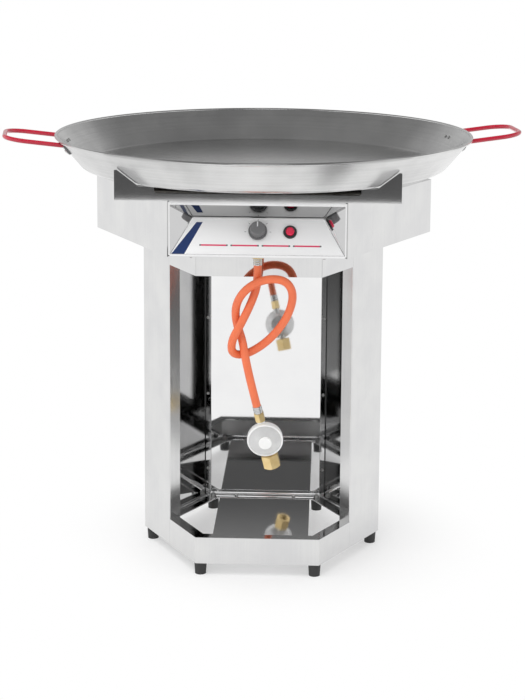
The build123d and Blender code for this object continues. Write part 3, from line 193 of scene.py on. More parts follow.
class Graph:
    """A node tree that is built in code."""

    def __init__(self, tree: bpy.types.NodeTree) -> None:
        """Start from an empty tree."""
        self.tree = tree
        self.tree.nodes.clear()

    def node(self, kind: str, settings: dict | None = None, sockets: dict | None = None) -> bpy.types.Node:
        """Add one node.

        Args:
            kind: Type name of the node.
            settings: Properties of the node, set before its sockets.
            sockets: Values or links of its input sockets, by name or number.

        Returns:
            The new node.
        """
        made = self.tree.nodes.new(kind)
        for name, value in (settings or {}).items():
            setattr(made, name, value)
        for key, value in (sockets or {}).items():
            if isinstance(value, Link):
                self.tree.links.new(value.socket, made.inputs[key])
            elif isinstance(value, bpy.types.NodeSocket):
                self.tree.links.new(value, made.inputs[key])
            else:
                made.inputs[key].default_value = value
        return made

    def value(
        self, kind: str, settings: dict | None = None, sockets: dict | None = None, out: int | str = 0
    ) -> Link:
        """Add one node and take one of its results.

        Args:
            kind: Type name of the node.
            settings: Properties of the node.
            sockets: Values or links of its input sockets.
            out: Name or number of the output.

        Returns:
            The output as a link.
        """
        return Link(self, self.node(kind, settings, sockets).outputs[out])

    def mix(self, factor: Any, first: Any, second: Any) -> Link:
        """Blend two colours.

        Args:
            factor: Share of the second colour.
            first: A colour or a link to one.
            second: A colour or a link to one.

        Returns:
            The blended colour.
        """
        pair = [(*item, 1.0) if isinstance(item, tuple) else item for item in (first, second)]
        sockets = {MIX_SHARE: factor, MIX_FIRST: pair[0], MIX_SECOND: pair[1]}
        return self.value("ShaderNodeMix", {"data_type": "RGBA"}, sockets, MIX_RESULT)


class Surface(Graph):
    """Shader tree of one material, on Object coordinates."""

    def __init__(self, name: str) -> None:
        """Make the material.

        Args:
            name: Name of the material.
        """
        self.material = bpy.data.materials.new(name)
        self.material.use_nodes = True
        super().__init__(self.material.node_tree)
        self.place = self.value("ShaderNodeTexCoord", out="Object")

    def axes(self) -> tuple[Link, Link, Link]:
        """X, Y and Z of the surface."""
        split = self.node("ShaderNodeSeparateXYZ", None, {0: self.place})
        return tuple(Link(self, split.outputs[index]) for index in range(3))

    def reach(self) -> Link:
        """Distance of the surface from the upright axis."""
        x, y, _ = self.axes()
        return (x * x + y * y) ** 0.5

    def noise(self, scale: float, stretch: Triple = (1.0, 1.0, 1.0), detail: float = 2.0) -> Link:
        """Noise over the surface.

        Args:
            scale: Features per metre.
            stretch: Factors on the three coordinates.
            detail: Octaves of finer noise.

        Returns:
            A value round one half.
        """
        spot = self.value("ShaderNodeMapping", None, {"Vector": self.place, "Scale": stretch})
        return self.value("ShaderNodeTexNoise", None, {"Vector": spot, "Scale": scale, "Detail": detail})

    def bump(self, height: Link, distance: float) -> Link:
        """Normal that follows a height in units of a distance."""
        return self.value("ShaderNodeBump", None, {"Distance": distance, "Height": height})

    def close(self, sockets: dict) -> bpy.types.Material:
        """Put a Principled shader on the surface.

        Args:
            sockets: Values or links of the shader's sockets.

        Returns:
            The finished material.
        """
        full = {key: (*item, 1.0) if isinstance(item, tuple) else item for key, item in sockets.items()}
        shader = self.node("ShaderNodeBsdfPrincipled", None, full)
        self.node("ShaderNodeOutputMaterial", None, {"Surface": shader.outputs[0]})
        return self.material


@dataclass(frozen=True)
class Grain:
    """Fine structure of a finish."""

    scale: float = 900.0
    stretch: Triple = (1.0, 1.0, 1.0)
    gloss: float = 0.1
    height: float = 0.02 * MM
    detail: float = 2.0


@dataclass(frozen=True)
class Finish:
    """A colour that drifts in soft patches, with a grain in its gloss and its bump."""

    slot: str
    colour: Colour
    drift: Colour
    roughness: float
    metallic: float = 0.0
    coat: float = 0.0
    coat_roughness: float = 0.1
    patch_scale: float = 14.0
    patch_gloss: float = 0.08
    patch_detail: float = 3.0
    patch_share: float = 0.75
    drift_range: Pair = (0.3, 0.7)
    least_roughness: float = 0.03
    grain: Grain = Grain()

    def texture(self, surface: Surface) -> Link:
        """Grain of the surface, round one half."""
        return surface.noise(self.grain.scale, self.grain.stretch, self.grain.detail)

    def paint(self, surface: Surface, base: Link) -> Link:
        """Colour of the surface, from the one that drifts."""
        return base

    def sockets(self, surface: Surface) -> dict[str, Any]:
        """Values and links of the shader's sockets.

        Args:
            surface: Tree that is being built.

        Returns:
            What each socket takes, by name.
        """
        patches = surface.noise(self.patch_scale, detail=self.patch_detail)
        grain = self.texture(surface)
        share = (patches * self.patch_share + grain * (1 - self.patch_share)).rise(*self.drift_range)
        swing = (patches - NOISE_MIDDLE) * self.patch_gloss + (grain - NOISE_MIDDLE) * self.grain.gloss
        return {
            "Base Color": self.paint(surface, surface.mix(share, self.colour, self.drift)),
            "Metallic": self.metallic,
            "Roughness": (swing + self.roughness).larger(self.least_roughness),
            "Coat Weight": self.coat,
            "Coat Roughness": self.coat_roughness,
            "Normal": surface.bump(grain, self.grain.height),
        }

    def build(self) -> bpy.types.Material:
        """Make the material, named after its slot."""
        surface = Surface(f"finish_{self.slot}")
        return surface.close(self.sockets(surface))


@dataclass(frozen=True)
class StandSheet(Finish):
    """Sheet of the six-sided stand."""

    corner: float = 233.0 * MM
    sheet: float = SHEET
    near: float = 0.3 * MM
    soft: float = 0.1 * MM

    def wall(self) -> float:
        """Distance of the stand's sides from its axis."""
        return self.corner * math.cos(math.pi / 6)

    def slab(self, surface: Surface, slant: float, middle: float, half: float) -> Link:
        """Mask that is 1 near an upright plane on both sides of the object.

        Args:
            surface: Tree that is being built.
            slant: Angle of the plane's normal in plan, in degrees from +X.
            middle: Distance of the plane from the axis.
            half: Half the thickness of the mask.

        Returns:
            The mask.
        """
        x, y, _ = surface.axes()
        turn = math.radians(slant)
        off = abs(abs(x) * math.cos(turn) + y * math.sin(turn) - middle)
        return off.below(half, self.soft)


@dataclass(frozen=True)
class BrushedSheet(StandSheet):
    """Brushed sheet, satin on the folds beside the opening and dull inside the plinth and the lintel."""

    satin: float = 0.12
    matt: float = 0.4
    dull: float = 0.3

    def sockets(self, surface: Surface) -> dict[str, Any]:
        """Take some of the gloss from the folds and the inside.

        Args:
            surface: Tree that is being built.

        Returns:
            What each socket takes, by name.
        """
        found = super().sockets(surface)
        fold = self.slab(surface, 60, 0.0, self.near)
        inside = self.slab(surface, -90, self.wall() - self.sheet, self.near)
        found["Metallic"] = 1 - inside * self.dull
        found["Roughness"] = found["Roughness"] + fold * self.satin + inside * self.matt
        return found


@dataclass(frozen=True)
class SpunSteel(Finish):
    """Steel with the rings that spinning leaves round the vertical axis."""

    ring_scale: float = 420.0
    ring_detail: float = 3.0
    ring_lift: float = 0.3
    ring_share: float = 0.7

    def texture(self, surface: Surface) -> Link:
        """Rings by distance from the axis, broken by fine noise.

        Args:
            surface: Tree that is being built.

        Returns:
            The grain, round one half.
        """
        _, _, z = surface.axes()
        spot = surface.value("ShaderNodeCombineXYZ", None, {0: surface.reach(), 1: z * self.ring_lift})
        look = {"Vector": spot, "Scale": self.ring_scale, "Detail": self.ring_detail}
        rings = surface.value("ShaderNodeTexNoise", None, look)
        return rings * self.ring_share + super().texture(surface) * (1 - self.ring_share)


@dataclass(frozen=True)
class MirrorSheet(StandSheet):
    """Mirror sheet, with painted shade on the control recess's top face and on the laps' cut edges."""

    lap: float = 20.0 * MM
    # Painted shade: near-black steel on the laps' ends
    lap_end_shade: Colour = (0.03, 0.03, 0.03)
    # Painted shade: darker steel on the control recess's top face
    recess_shade: Colour = (0.46, 0.46, 0.46)
    ridge: Pair = (-242.2 * MM, 696.5 * MM)
    fall: float = 28.5 / 36
    front: float = -277.6 * MM
    face_near: float = 3.0 * MM
    face_soft: float = 0.3 * MM

    def paint(self, surface: Surface, base: Link) -> Link:
        """Painted shade: darker steel close to the plane of the recess's top face, and near-black steel on
        the laps' ends.

        Args:
            surface: Tree that is being built.
            base: The colour that drifts.

        Returns:
            The base colour.
        """
        _, y, z = surface.axes()
        off = abs(z + (y - self.ridge[0]) * self.fall - self.ridge[1])
        # Mask of the painted shade on the recess's top face
        face = off.below(self.face_near, self.face_soft) * y.above(self.front, self.face_soft)
        face = face * y.below(self.ridge[0], self.face_soft)
        # Mask of the painted shade on the laps' ends
        tip = self.lap - self.corner / 2 - self.sheet * math.tan(math.pi / 6)
        lap_middle = self.wall() - 1.5 * self.sheet
        end = self.slab(surface, -60, tip, self.near) * self.slab(surface, 30, lap_middle, self.sheet / 2)
        return surface.mix(end, surface.mix(face, base, self.recess_shade), self.lap_end_shade)


@dataclass(frozen=True)
class DippedEnamel(Finish):
    """Enamel on the handles' loops, with the riveted pads under the rim dark grey."""

    # Dark grey of the riveted pads under the rim
    pad_grey: Colour = (0.16, 0.16, 0.165)
    edge: float = 392.0 * MM
    soft: float = 0.6 * MM

    def paint(self, surface: Surface, base: Link) -> Link:
        """Enamel outside a circle round the pan's axis."""
        return surface.mix(surface.reach().above(self.edge, self.soft), self.pad_grey, base)


@dataclass(frozen=True)
class AlloyWithPaintedLight(Finish):
    """Cast alloy of the regulator, with painted light on its rim, its necks and its back."""

    # Painted light: the bright rim stands in for its highlight, and the bright back for light that the mirror
    # panel throws on it
    painted_light: Colour = (0.94, 0.94, 0.935)
    edge: float = 30.0 * MM
    back: float = 5.5 * MM
    soft: float = 0.15 * MM

    def paint(self, surface: Surface, base: Link) -> Link:
        """Painted light: bright alloy outside a ball round the middle of the disc, and behind it.

        Args:
            surface: Tree that is being built.
            base: The colour that drifts.

        Returns:
            The base colour.
        """
        low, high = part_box("regulator_diaphragm")
        middle = (low + high) / 2
        ends = {0: surface.place, 1: middle}
        off = surface.value("ShaderNodeVectorMath", {"operation": "DISTANCE"}, ends, "Value")
        _, y, _ = surface.axes()
        # Mask of the painted light on the rim, the necks and the back
        turned = off.above(self.edge, self.soft).larger(y.above(middle.y + self.back, self.soft))
        return surface.mix(turned, base, self.painted_light)


@dataclass(frozen=True)
class PrintedFilm(Finish):
    """White film on the control slope, with a corner stripe, four thin bars and a dial of ticks."""

    foot: Triple = (0.0, -278.226 * MM, 634.5 * MM)
    up: Triple = (0.0, 0.502136, 0.864789)
    navy: Colour = (0.004, 0.03, 0.14)
    red: Colour = (0.76, 0.03, 0.12)
    ink: Colour = (0.1, 0.1, 0.11)
    stripe_foot: Pair = (-155.0 * MM, -131.5 * MM)
    stripe_lean: float = 0.61
    stripe_taper: float = 0.1
    stripe_top: float = 62.0 * MM
    bar_count: int = 4
    bar_first: float = -79.0 * MM
    bar_pitch: float = 56.0 * MM
    bar_half: float = 24.0 * MM
    bar_level: float = 18.3 * MM
    bar_thickness: float = 1.5 * MM
    control_row: float = 44.5 * MM
    dial_radius: float = 22.5 * MM
    tick_half: float = 1.6 * MM
    tick_slim: float = 0.25
    tick_angles: tuple[float, ...] = (180.0, 135.0, 90.0, 45.0, 0.0)
    soft: float = 0.12 * MM

    def window(self, value: Link, middle: float, half: float) -> Link:
        """Mask that is 1 within a half width of a middle."""
        return abs(value - middle).below(half, self.soft)

    def stripe(self, x: Link, level: Link) -> Link:
        """Corner stripe, which leans and gets narrower upwards.

        Args:
            x: Place across the slope.
            level: Place up the slope.

        Returns:
            The mask.
        """
        left, right = self.stripe_foot
        off = abs(x - level * self.stripe_lean - (left + right) / 2)
        half = level * -self.stripe_taper + (right - left) / 2
        return (off - half).below(0.0, self.soft) * level.below(self.stripe_top, self.soft)

    def dial(self, x: Link, level: Link) -> Link:
        """Ticks round the knob.

        Args:
            x: Place across the slope.
            level: Place up the slope.

        Returns:
            The mask.
        """
        up = level - self.control_row
        ticks = []
        for turn in map(math.radians, self.tick_angles):
            along = x * math.cos(turn) + up * math.sin(turn)
            across = up * math.cos(turn) - x * math.sin(turn)
            slim = self.window(across, 0.0, self.tick_half * self.tick_slim)
            ticks.append(self.window(along, self.dial_radius, self.tick_half) * slim)
        return sum(ticks)

    def paint(self, surface: Surface, base: Link) -> Link:
        """Print on the film, in the slope's own directions.

        Args:
            surface: Tree that is being built.
            base: The colour that drifts.

        Returns:
            The base colour.
        """
        x, y, z = surface.axes()
        level = (y - self.foot[1]) * self.up[1] + (z - self.foot[2]) * self.up[2]
        striped = surface.mix(self.stripe(x, level), base, self.navy)
        inked = surface.mix(self.dial(x, level), striped, self.ink)
        row = self.window(level, self.bar_level, self.bar_thickness)
        spots = [self.bar_first + index * self.bar_pitch for index in range(self.bar_count)]
        bars = sum(self.window(x, spot, self.bar_half) for spot in spots)
        ends = sum(self.window(abs(x - spot), self.bar_half, self.bar_thickness) for spot in spots)
        return surface.mix(ends * row, surface.mix(bars * row, inked, self.red), self.ink)


BRUSHED_UP = Grain(scale=420.0, stretch=(1.0, 1.0, 0.012), gloss=0.05, height=0.0015 * MM, detail=4.0)
POLISHED = Grain(scale=300.0, stretch=(0.05, 6.0, 6.0), gloss=0.012, height=0.001 * MM)
SPUN = Grain(scale=500.0, gloss=0.07, height=0.008 * MM)
FINE = Grain(scale=1400.0, gloss=0.12, height=0.015 * MM)
MOULDED = Grain(scale=1900.0, gloss=0.15, height=0.05 * MM, detail=1.0)
CAST = Grain(scale=620.0, gloss=0.2, height=0.16 * MM, detail=4.0)
TURNED = Grain(scale=700.0, stretch=(0.25, 0.25, 4.0), gloss=0.12, height=0.012 * MM)
DIPPED = Grain(scale=420.0, gloss=0.06, height=0.02 * MM)
RUBBER = Grain(scale=900.0, gloss=0.16, height=0.04 * MM)

FINISHES: tuple[Finish, ...] = (
    BrushedSheet("stainless_sheet", (0.74, 0.74, 0.735), (0.68, 0.68, 0.685), 0.05, 1.0,
                 patch_gloss=0.03, grain=BRUSHED_UP),
    MirrorSheet("polished_sheet", (0.88, 0.88, 0.88), (0.85, 0.85, 0.855), 0.035, 1.0,
                patch_gloss=0.02, grain=POLISHED),
    Finish("foot_rubber", (0.022, 0.022, 0.023), (0.04, 0.04, 0.04), 0.62, grain=MOULDED),
    Finish("fasteners", (0.7, 0.7, 0.69), (0.6, 0.6, 0.6), 0.36, 1.0, patch_scale=160.0, grain=FINE),
    PrintedFilm("panel_film", (0.96, 0.96, 0.96), (0.945, 0.945, 0.95), 0.34, coat=0.12, grain=FINE),
    Finish("brass_fittings", (0.86, 0.67, 0.35), (0.8, 0.59, 0.27), 0.32, 0.9,
           patch_scale=90.0, grain=TURNED),
    Finish("knob_plastic", (0.15, 0.151, 0.154), (0.18, 0.181, 0.185), 0.42, grain=MOULDED),
    Finish("pointer_white", (0.82, 0.82, 0.82), (0.74, 0.74, 0.74), 0.35, grain=FINE),
    Finish("black_plastic", (0.012, 0.012, 0.013), (0.022, 0.022, 0.022), 0.3, coat=0.2, grain=MOULDED),
    Finish("button_red", (0.84, 0.008, 0.07), (0.76, 0.006, 0.06), 0.22,
           coat=0.3, patch_scale=120.0, grain=FINE),
    Finish("burner_iron", (0.075, 0.073, 0.07), (0.13, 0.115, 0.1), 0.58, 0.4, patch_scale=45.0, grain=CAST),
    Finish("burner_steel", (0.46, 0.45, 0.43), (0.36, 0.33, 0.29), 0.36, 1.0,
           patch_scale=30.0, grain=TURNED),
    Finish("ceramic", (0.82, 0.79, 0.73), (0.7, 0.66, 0.6), 0.25, coat=0.4, patch_scale=60.0, grain=FINE),
    SpunSteel("pan_steel", (0.76, 0.76, 0.755), (0.54, 0.54, 0.54), 0.22, 1.0,
              patch_scale=7.0, patch_gloss=0.16, grain=SPUN),
    DippedEnamel("handle_red", (0.49, 0.004, 0.03), (0.41, 0.003, 0.024), 0.2,
                 coat=0.7, patch_scale=70.0, grain=DIPPED),
    Finish("hose_rubber", (0.88, 0.19, 0.07), (0.82, 0.165, 0.06), 0.46,
           coat=0.08, patch_scale=40.0, grain=RUBBER),
    Finish("ferrule_steel", (0.68, 0.68, 0.67), (0.58, 0.58, 0.59), 0.24, 1.0,
           patch_scale=120.0, grain=TURNED),
    AlloyWithPaintedLight("regulator_alloy", (0.7, 0.7, 0.695), (0.63, 0.63, 0.63), 0.36, 0.3,
                patch_scale=60.0, grain=CAST),
    Finish("seal_rubber", (0.03, 0.03, 0.03), (0.05, 0.05, 0.05), 0.6, grain=MOULDED),
    Finish("cap_white", (0.93, 0.93, 0.92), (0.88, 0.88, 0.87), 0.34,
           coat=0.2, patch_scale=80.0, grain=MOULDED),
)


def hexagon(apothem: float) -> Callable[[float], float]:
    """Radius of a hexagon by angle, with a corner at angle 0.

    Args:
        apothem: Half the width across flats.

    Returns:
        A function of the angle.
    """
    sixth = math.pi / 3
    return lambda angle: apothem / math.cos((angle % sixth) - sixth / 2)


def at(value: Reach, angle: float) -> float:
    """Value of a plain length, or of one that changes with the angle."""
    return value(angle) if callable(value) else value


def add_object(name: str, data: bpy.types.ID) -> bpy.types.Object:
    """Make an object of a mesh, curve, lamp or camera and put it in the scene.

    Args:
        name: Name of the object.
        data: What it shows.

    Returns:
        The object.
    """
    made = bpy.data.objects.new(name, data)
    bpy.context.scene.collection.objects.link(made)
    return made


def ray(angle: float) -> Vector:
    """Direction at an angle in a plane."""
    return Vector((math.cos(angle), math.sin(angle)))


def close_shape(shape: bmesh.types.BMesh, name: str) -> bpy.types.Mesh:
    """Turn an edited shape into a mesh whose faces point outwards.

    Args:
        shape: The shape, which is freed.
        name: Name of the mesh.

    Returns:
        The mesh.
    """
    bmesh.ops.recalc_face_normals(shape, faces=shape.faces)
    mesh = bpy.data.meshes.new(name)
    shape.to_mesh(mesh)
    shape.free()
    return mesh


def lathe(name: str, stations: Profile, sides: int, closed: bool = False) -> bpy.types.Mesh:
    """Turn a profile round the local Z axis.

    Args:
        name: Name of the mesh.
        stations: Radius and height along the profile, each plain or by angle. A radius of 0 is a pole.
        sides: Points round the axis.
        closed: Join the last station to the first, as on a ring.

    Returns:
        A mesh with faces that point outwards and sharp edges at its corners.
    """
    shape = bmesh.new()
    angles = [2 * math.pi * step / sides for step in range(sides)]
    rings = []
    for radius, height in stations:
        if radius == 0:
            rings.append([shape.verts.new((0, 0, height))])
            continue
        ring = []
        for angle in angles:
            reach = at(radius, angle)
            spot = (reach * math.cos(angle), reach * math.sin(angle), at(height, angle))
            ring.append(shape.verts.new(spot))
        rings.append(ring)
    for low, high in zip(rings, rings[1:] + rings[:1] if closed else rings[1:]):
        for step in range(sides):
            after = (step + 1) % sides
            corners = [low[step % len(low)], low[after % len(low)]]
            corners += [high[after % len(high)], high[step % len(high)]]
            shape.faces.new(list(dict.fromkeys(corners)))
    mesh = close_shape(shape, name)
    soften(mesh)
    return mesh


def soften(mesh: bpy.types.Mesh, angle: float = 32.0) -> None:
    """Shade a mesh smooth, with sharp edges at corners over an angle in degrees."""
    mesh.polygons.foreach_set("use_smooth", [True] * len(mesh.polygons))
    mesh.set_sharp_from_angle(angle=math.radians(angle))


def place_along(origin: Vector, axis: Vector, side: Vector) -> Matrix:
    """Placement whose Z runs along an axis and whose X lies towards a side.

    Args:
        origin: Place of the local origin.
        axis: Direction of the local Z.
        side: Direction that the local X leans to.

    Returns:
        The placement.
    """
    up = axis.normalized()
    across = (side - up * side.dot(up)).normalized()
    turn = Matrix((across, up.cross(across), up)).transposed().to_4x4()
    return Matrix.Translation(origin) @ turn


class Recipe(Graph):
    """A Geometry Nodes tree that repeats a shape."""

    def __init__(self, name: str) -> None:
        """Make the tree with its geometry sockets.

        Args:
            name: Name of the tree.
        """
        super().__init__(bpy.data.node_groups.new(name, "GeometryNodeTree"))
        self.tree.interface.new_socket("Shape", in_out="INPUT", socket_type="NodeSocketGeometry")
        self.tree.interface.new_socket("Result", in_out="OUTPUT", socket_type="NodeSocketGeometry")
        self.keys: dict[str, str] = {}
        self.start: bpy.types.Node | None = None

    def inputs(self, sizes: dict[str, str]) -> bpy.types.Node:
        """Add the named inputs.

        Args:
            sizes: Socket type of each input, by name.

        Returns:
            The node that gives the inputs.
        """
        for name, kind in {**sizes, "Finish": "NodeSocketMaterial"}.items():
            socket = self.tree.interface.new_socket(name, in_out="INPUT", socket_type=kind)
            self.keys[name] = socket.identifier
        self.start = self.node("NodeGroupInput")
        return self.start

    def close(
        self, points: bpy.types.NodeSocket, shape: bpy.types.NodeSocket, more: dict | None = None
    ) -> None:
        """Put copies of a shape on points, and end the tree with real geometry in its finish.

        Args:
            points: Where the copies go.
            shape: What is copied.
            more: Turn or scale of the copies.
        """
        spread = {"Points": points, "Instance": shape, **(more or {})}
        copies = self.node("GeometryNodeInstanceOnPoints", None, spread)
        real = self.node("GeometryNodeRealizeInstances", None, {"Geometry": copies.outputs[0]})
        coat = {"Geometry": real.outputs[0], "Material": self.start.outputs["Finish"]}
        painted = self.node("GeometryNodeSetMaterial", None, coat)
        self.node("NodeGroupOutput", None, {0: painted.outputs[0]})

    def make(self, name: str, mesh: bpy.types.Mesh, sizes: dict[str, Any]) -> bpy.types.Mesh:
        """Run the tree on a mesh.

        Args:
            name: Name of the result.
            mesh: Shape that goes in.
            sizes: Values of the inputs, by name.

        Returns:
            The result as a plain mesh.
        """
        holder = add_object(name, mesh)
        modifier = holder.modifiers.new(name, "NODES")
        modifier.node_group = self.tree
        for key, value in sizes.items():
            modifier[self.keys[key]] = value
        scene = bpy.context.evaluated_depsgraph_get()
        made = bpy.data.meshes.new_from_object(holder.evaluated_get(scene))
        made.name = name
        bpy.data.objects.remove(holder)
        return made


class RingRecipe(Recipe):
    """Copies of a shape turned round the local Z axis."""

    def __init__(self) -> None:
        """Build the tree."""
        super().__init__("copies_round_axis")
        given = self.inputs({"Count": "NodeSocketInt"})
        count = given.outputs["Count"]
        points = self.node("GeometryNodeMeshLine", None, {"Count": count, "Offset": (0, 0, 0)})
        turn = self.value("GeometryNodeInputIndex") * (2 * math.pi) / Link(self, count)
        rotation = self.node("ShaderNodeCombineXYZ", None, {2: turn})
        self.close(points.outputs[0], given.outputs["Shape"], {"Rotation": rotation.outputs[0]})


class StackRecipe(Recipe):
    """Copies of a shape along the local Z axis."""

    def __init__(self) -> None:
        """Build the tree."""
        super().__init__("copies_along_axis")
        given = self.inputs({"Count": "NodeSocketInt", "Pitch": "NodeSocketFloat"})
        step = self.node("ShaderNodeCombineXYZ", None, {2: given.outputs["Pitch"]})
        line = {"Count": given.outputs["Count"], "Offset": step.outputs[0]}
        points = self.node("GeometryNodeMeshLine", None, line)
        self.close(points.outputs[0], given.outputs["Shape"])


class SeatRecipe(Recipe):
    """Copies of a fastener on seats: points that carry a turn."""

    def __init__(self) -> None:
        """Build the tree."""
        super().__init__("copies_on_seats")
        given = self.inputs({"Fastener": "NodeSocketObject"})
        shape = self.node("GeometryNodeObjectInfo", None, {"Object": given.outputs["Fastener"]})
        turn = self.node("GeometryNodeInputNamedAttribute", {"data_type": "FLOAT_VECTOR"}, {"Name": "turn"})
        self.close(given.outputs["Shape"], shape.outputs["Geometry"], {"Rotation": turn.outputs[0]})


class BeadRecipe(Recipe):
    """A weld's overlapping beads along paths."""

    SIZES = (0.85, 1.15)
    ROUNDS = 2

    def __init__(self) -> None:
        """Build the tree."""
        super().__init__("weld_along_paths")
        given = self.inputs({"Pitch": "NodeSocketFloat", "Bead": "NodeSocketFloat", "Seed": "NodeSocketInt"})
        curve = self.node("GeometryNodeMeshToCurve", None, {"Mesh": given.outputs["Shape"]})
        stops = {"Curve": curve.outputs[0], "Length": given.outputs["Pitch"]}
        points = self.node("GeometryNodeCurveToPoints", {"mode": "LENGTH"}, stops)
        bead = {"Radius": given.outputs["Bead"], "Subdivisions": self.ROUNDS}
        ball = self.node("GeometryNodeMeshIcoSphere", None, bead)
        smooth = self.node("GeometryNodeSetShadeSmooth", None, {"Geometry": ball.outputs[0]})
        limits = {RANDOM_LEAST: self.SIZES[0], RANDOM_MOST: self.SIZES[1], "Seed": given.outputs["Seed"]}
        size = self.node("FunctionNodeRandomValue", {"data_type": "FLOAT"}, limits)
        self.close(points.outputs[0], smooth.outputs[0], {"Scale": size.outputs[RANDOM_RESULT]})


class Workshop:
    """The frame, the finishes and the recipes that the sub-assemblies share."""

    def __init__(self) -> None:
        """Load the frame and make every finish."""
        self.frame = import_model()
        bpy.context.view_layer.update()
        self.cad_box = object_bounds()
        self.finishes = {finish.slot: finish.build() for finish in FINISHES}
        self.ring = RingRecipe()
        self.stack = StackRecipe()
        self.seat = SeatRecipe()
        self.bead = BeadRecipe()

    def node(self, name: str) -> bpy.types.Object:
        """CAD object of a node."""
        return self.frame["nodes"][name]

    def middle(self, name: str) -> Vector:
        """Middle of a node's box."""
        low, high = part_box(name)
        return (low + high) / 2

    def joint(self, name: str) -> dict:
        """Joint of the record by name."""
        return next(joint for joint in self.frame["joints"] if joint["name"] == name)

    def dress(self) -> None:
        """Give every CAD node the finish of its slot."""
        for piece in self.frame["nodes"].values():
            for slot in piece.material_slots:
                slot.material = self.finishes[slot.material.name.split(".")[0]]

    def add(
        self, name: str, mesh: bpy.types.Mesh, body: str, slot: str, replaced: Sequence[str] = ()
    ) -> bpy.types.Object:
        """Add a piece to a body.

        Args:
            name: Name of the piece.
            mesh: Its mesh, in place.
            body: CAD body that it rides on.
            slot: Material slot of its finish.
            replaced: CAD nodes that it stands for.

        Returns:
            The piece.
        """
        mesh.name = name
        mesh.materials.clear()
        mesh.materials.append(self.finishes[slot])
        piece = add_object(name, mesh)
        self.ride(piece, body, slot, replaced)
        return piece

    def ride(self, piece: bpy.types.Object, body: str, slot: str, replaced: Sequence[str] = ()) -> None:
        """Tie a piece to its body, hide the nodes that it stands for, and log its slot.

        Args:
            piece: The piece.
            body: CAD body that it rides on.
            slot: Material slot of its finish.
            replaced: CAD nodes that it stands for.
        """
        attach(piece, body)
        if replaced:
            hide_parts(*replaced)
        log.info("%s rides on %s in %s", piece.name, body, slot)


class Drive(Enum):
    """What a fastener's head shows."""

    MANDREL = "dimple of a pulled rivet"
    SOCKET = "hexagon socket"


# Shares of a head's radius and height, from its middle outwards
DIMPLE = ((0.0, 0.35), (0.2, 0.35), (0.26, 0.02), (0.4, 0.0))
DOME = ((0.8, 0.16), (0.95, 0.42), (1.0, 0.75), (1.0, 1.0))
SOCKET_WIDTH, SOCKET_DEPTH, SOCKET_LIP, SOCKET_MOUTH = 0.42, 0.75, 0.03, 0.58
TAIL_TAPER = 0.9


@dataclass
class FastenerKind:
    """One kind of fastener, as its CAD node has it."""

    node: str
    body: str
    drive: Drive
    head: float
    head_height: float
    shank: float
    length: float
    tail: float = 0.0
    tail_height: float = 0.0
    upright: bool = False
    sides: int = 24

    def stations(self) -> Profile:
        """Profile from the middle of the head's top, at height 0, down to the far end.

        Returns:
            Radius and height of each station.
        """
        head, shank, floor = self.head / 2, self.shank / 2, -self.head_height
        if self.drive is Drive.SOCKET:
            key, base = hexagon(head * SOCKET_WIDTH), floor * SOCKET_DEPTH
            top = [(0, base), (key, base), (key, floor * SOCKET_LIP), (head * SOCKET_MOUTH, 0.0)]
        else:
            top = [(head * out, floor * down) for out, down in DIMPLE]
        top += [(head * out, floor * down) for out, down in DOME]
        end = floor - self.length
        foot = [(shank, floor), (shank, end)]
        if self.tail:
            foot += [(self.tail / 2, end), (self.tail / 2 * TAIL_TAPER, end - self.tail_height)]
        return [*top, *foot, (0, end - self.tail_height)]


def rivet(node: str, body: str, length: float) -> FastenerKind:
    """Pulled rivet in the one size that is used, with a shank of its own length."""
    return FastenerKind(
        node, body, Drive.MANDREL, head=8 * MM, head_height=1.6 * MM, shank=4 * MM, length=length,
        tail=6.5 * MM, tail_height=1.8 * MM,
    )


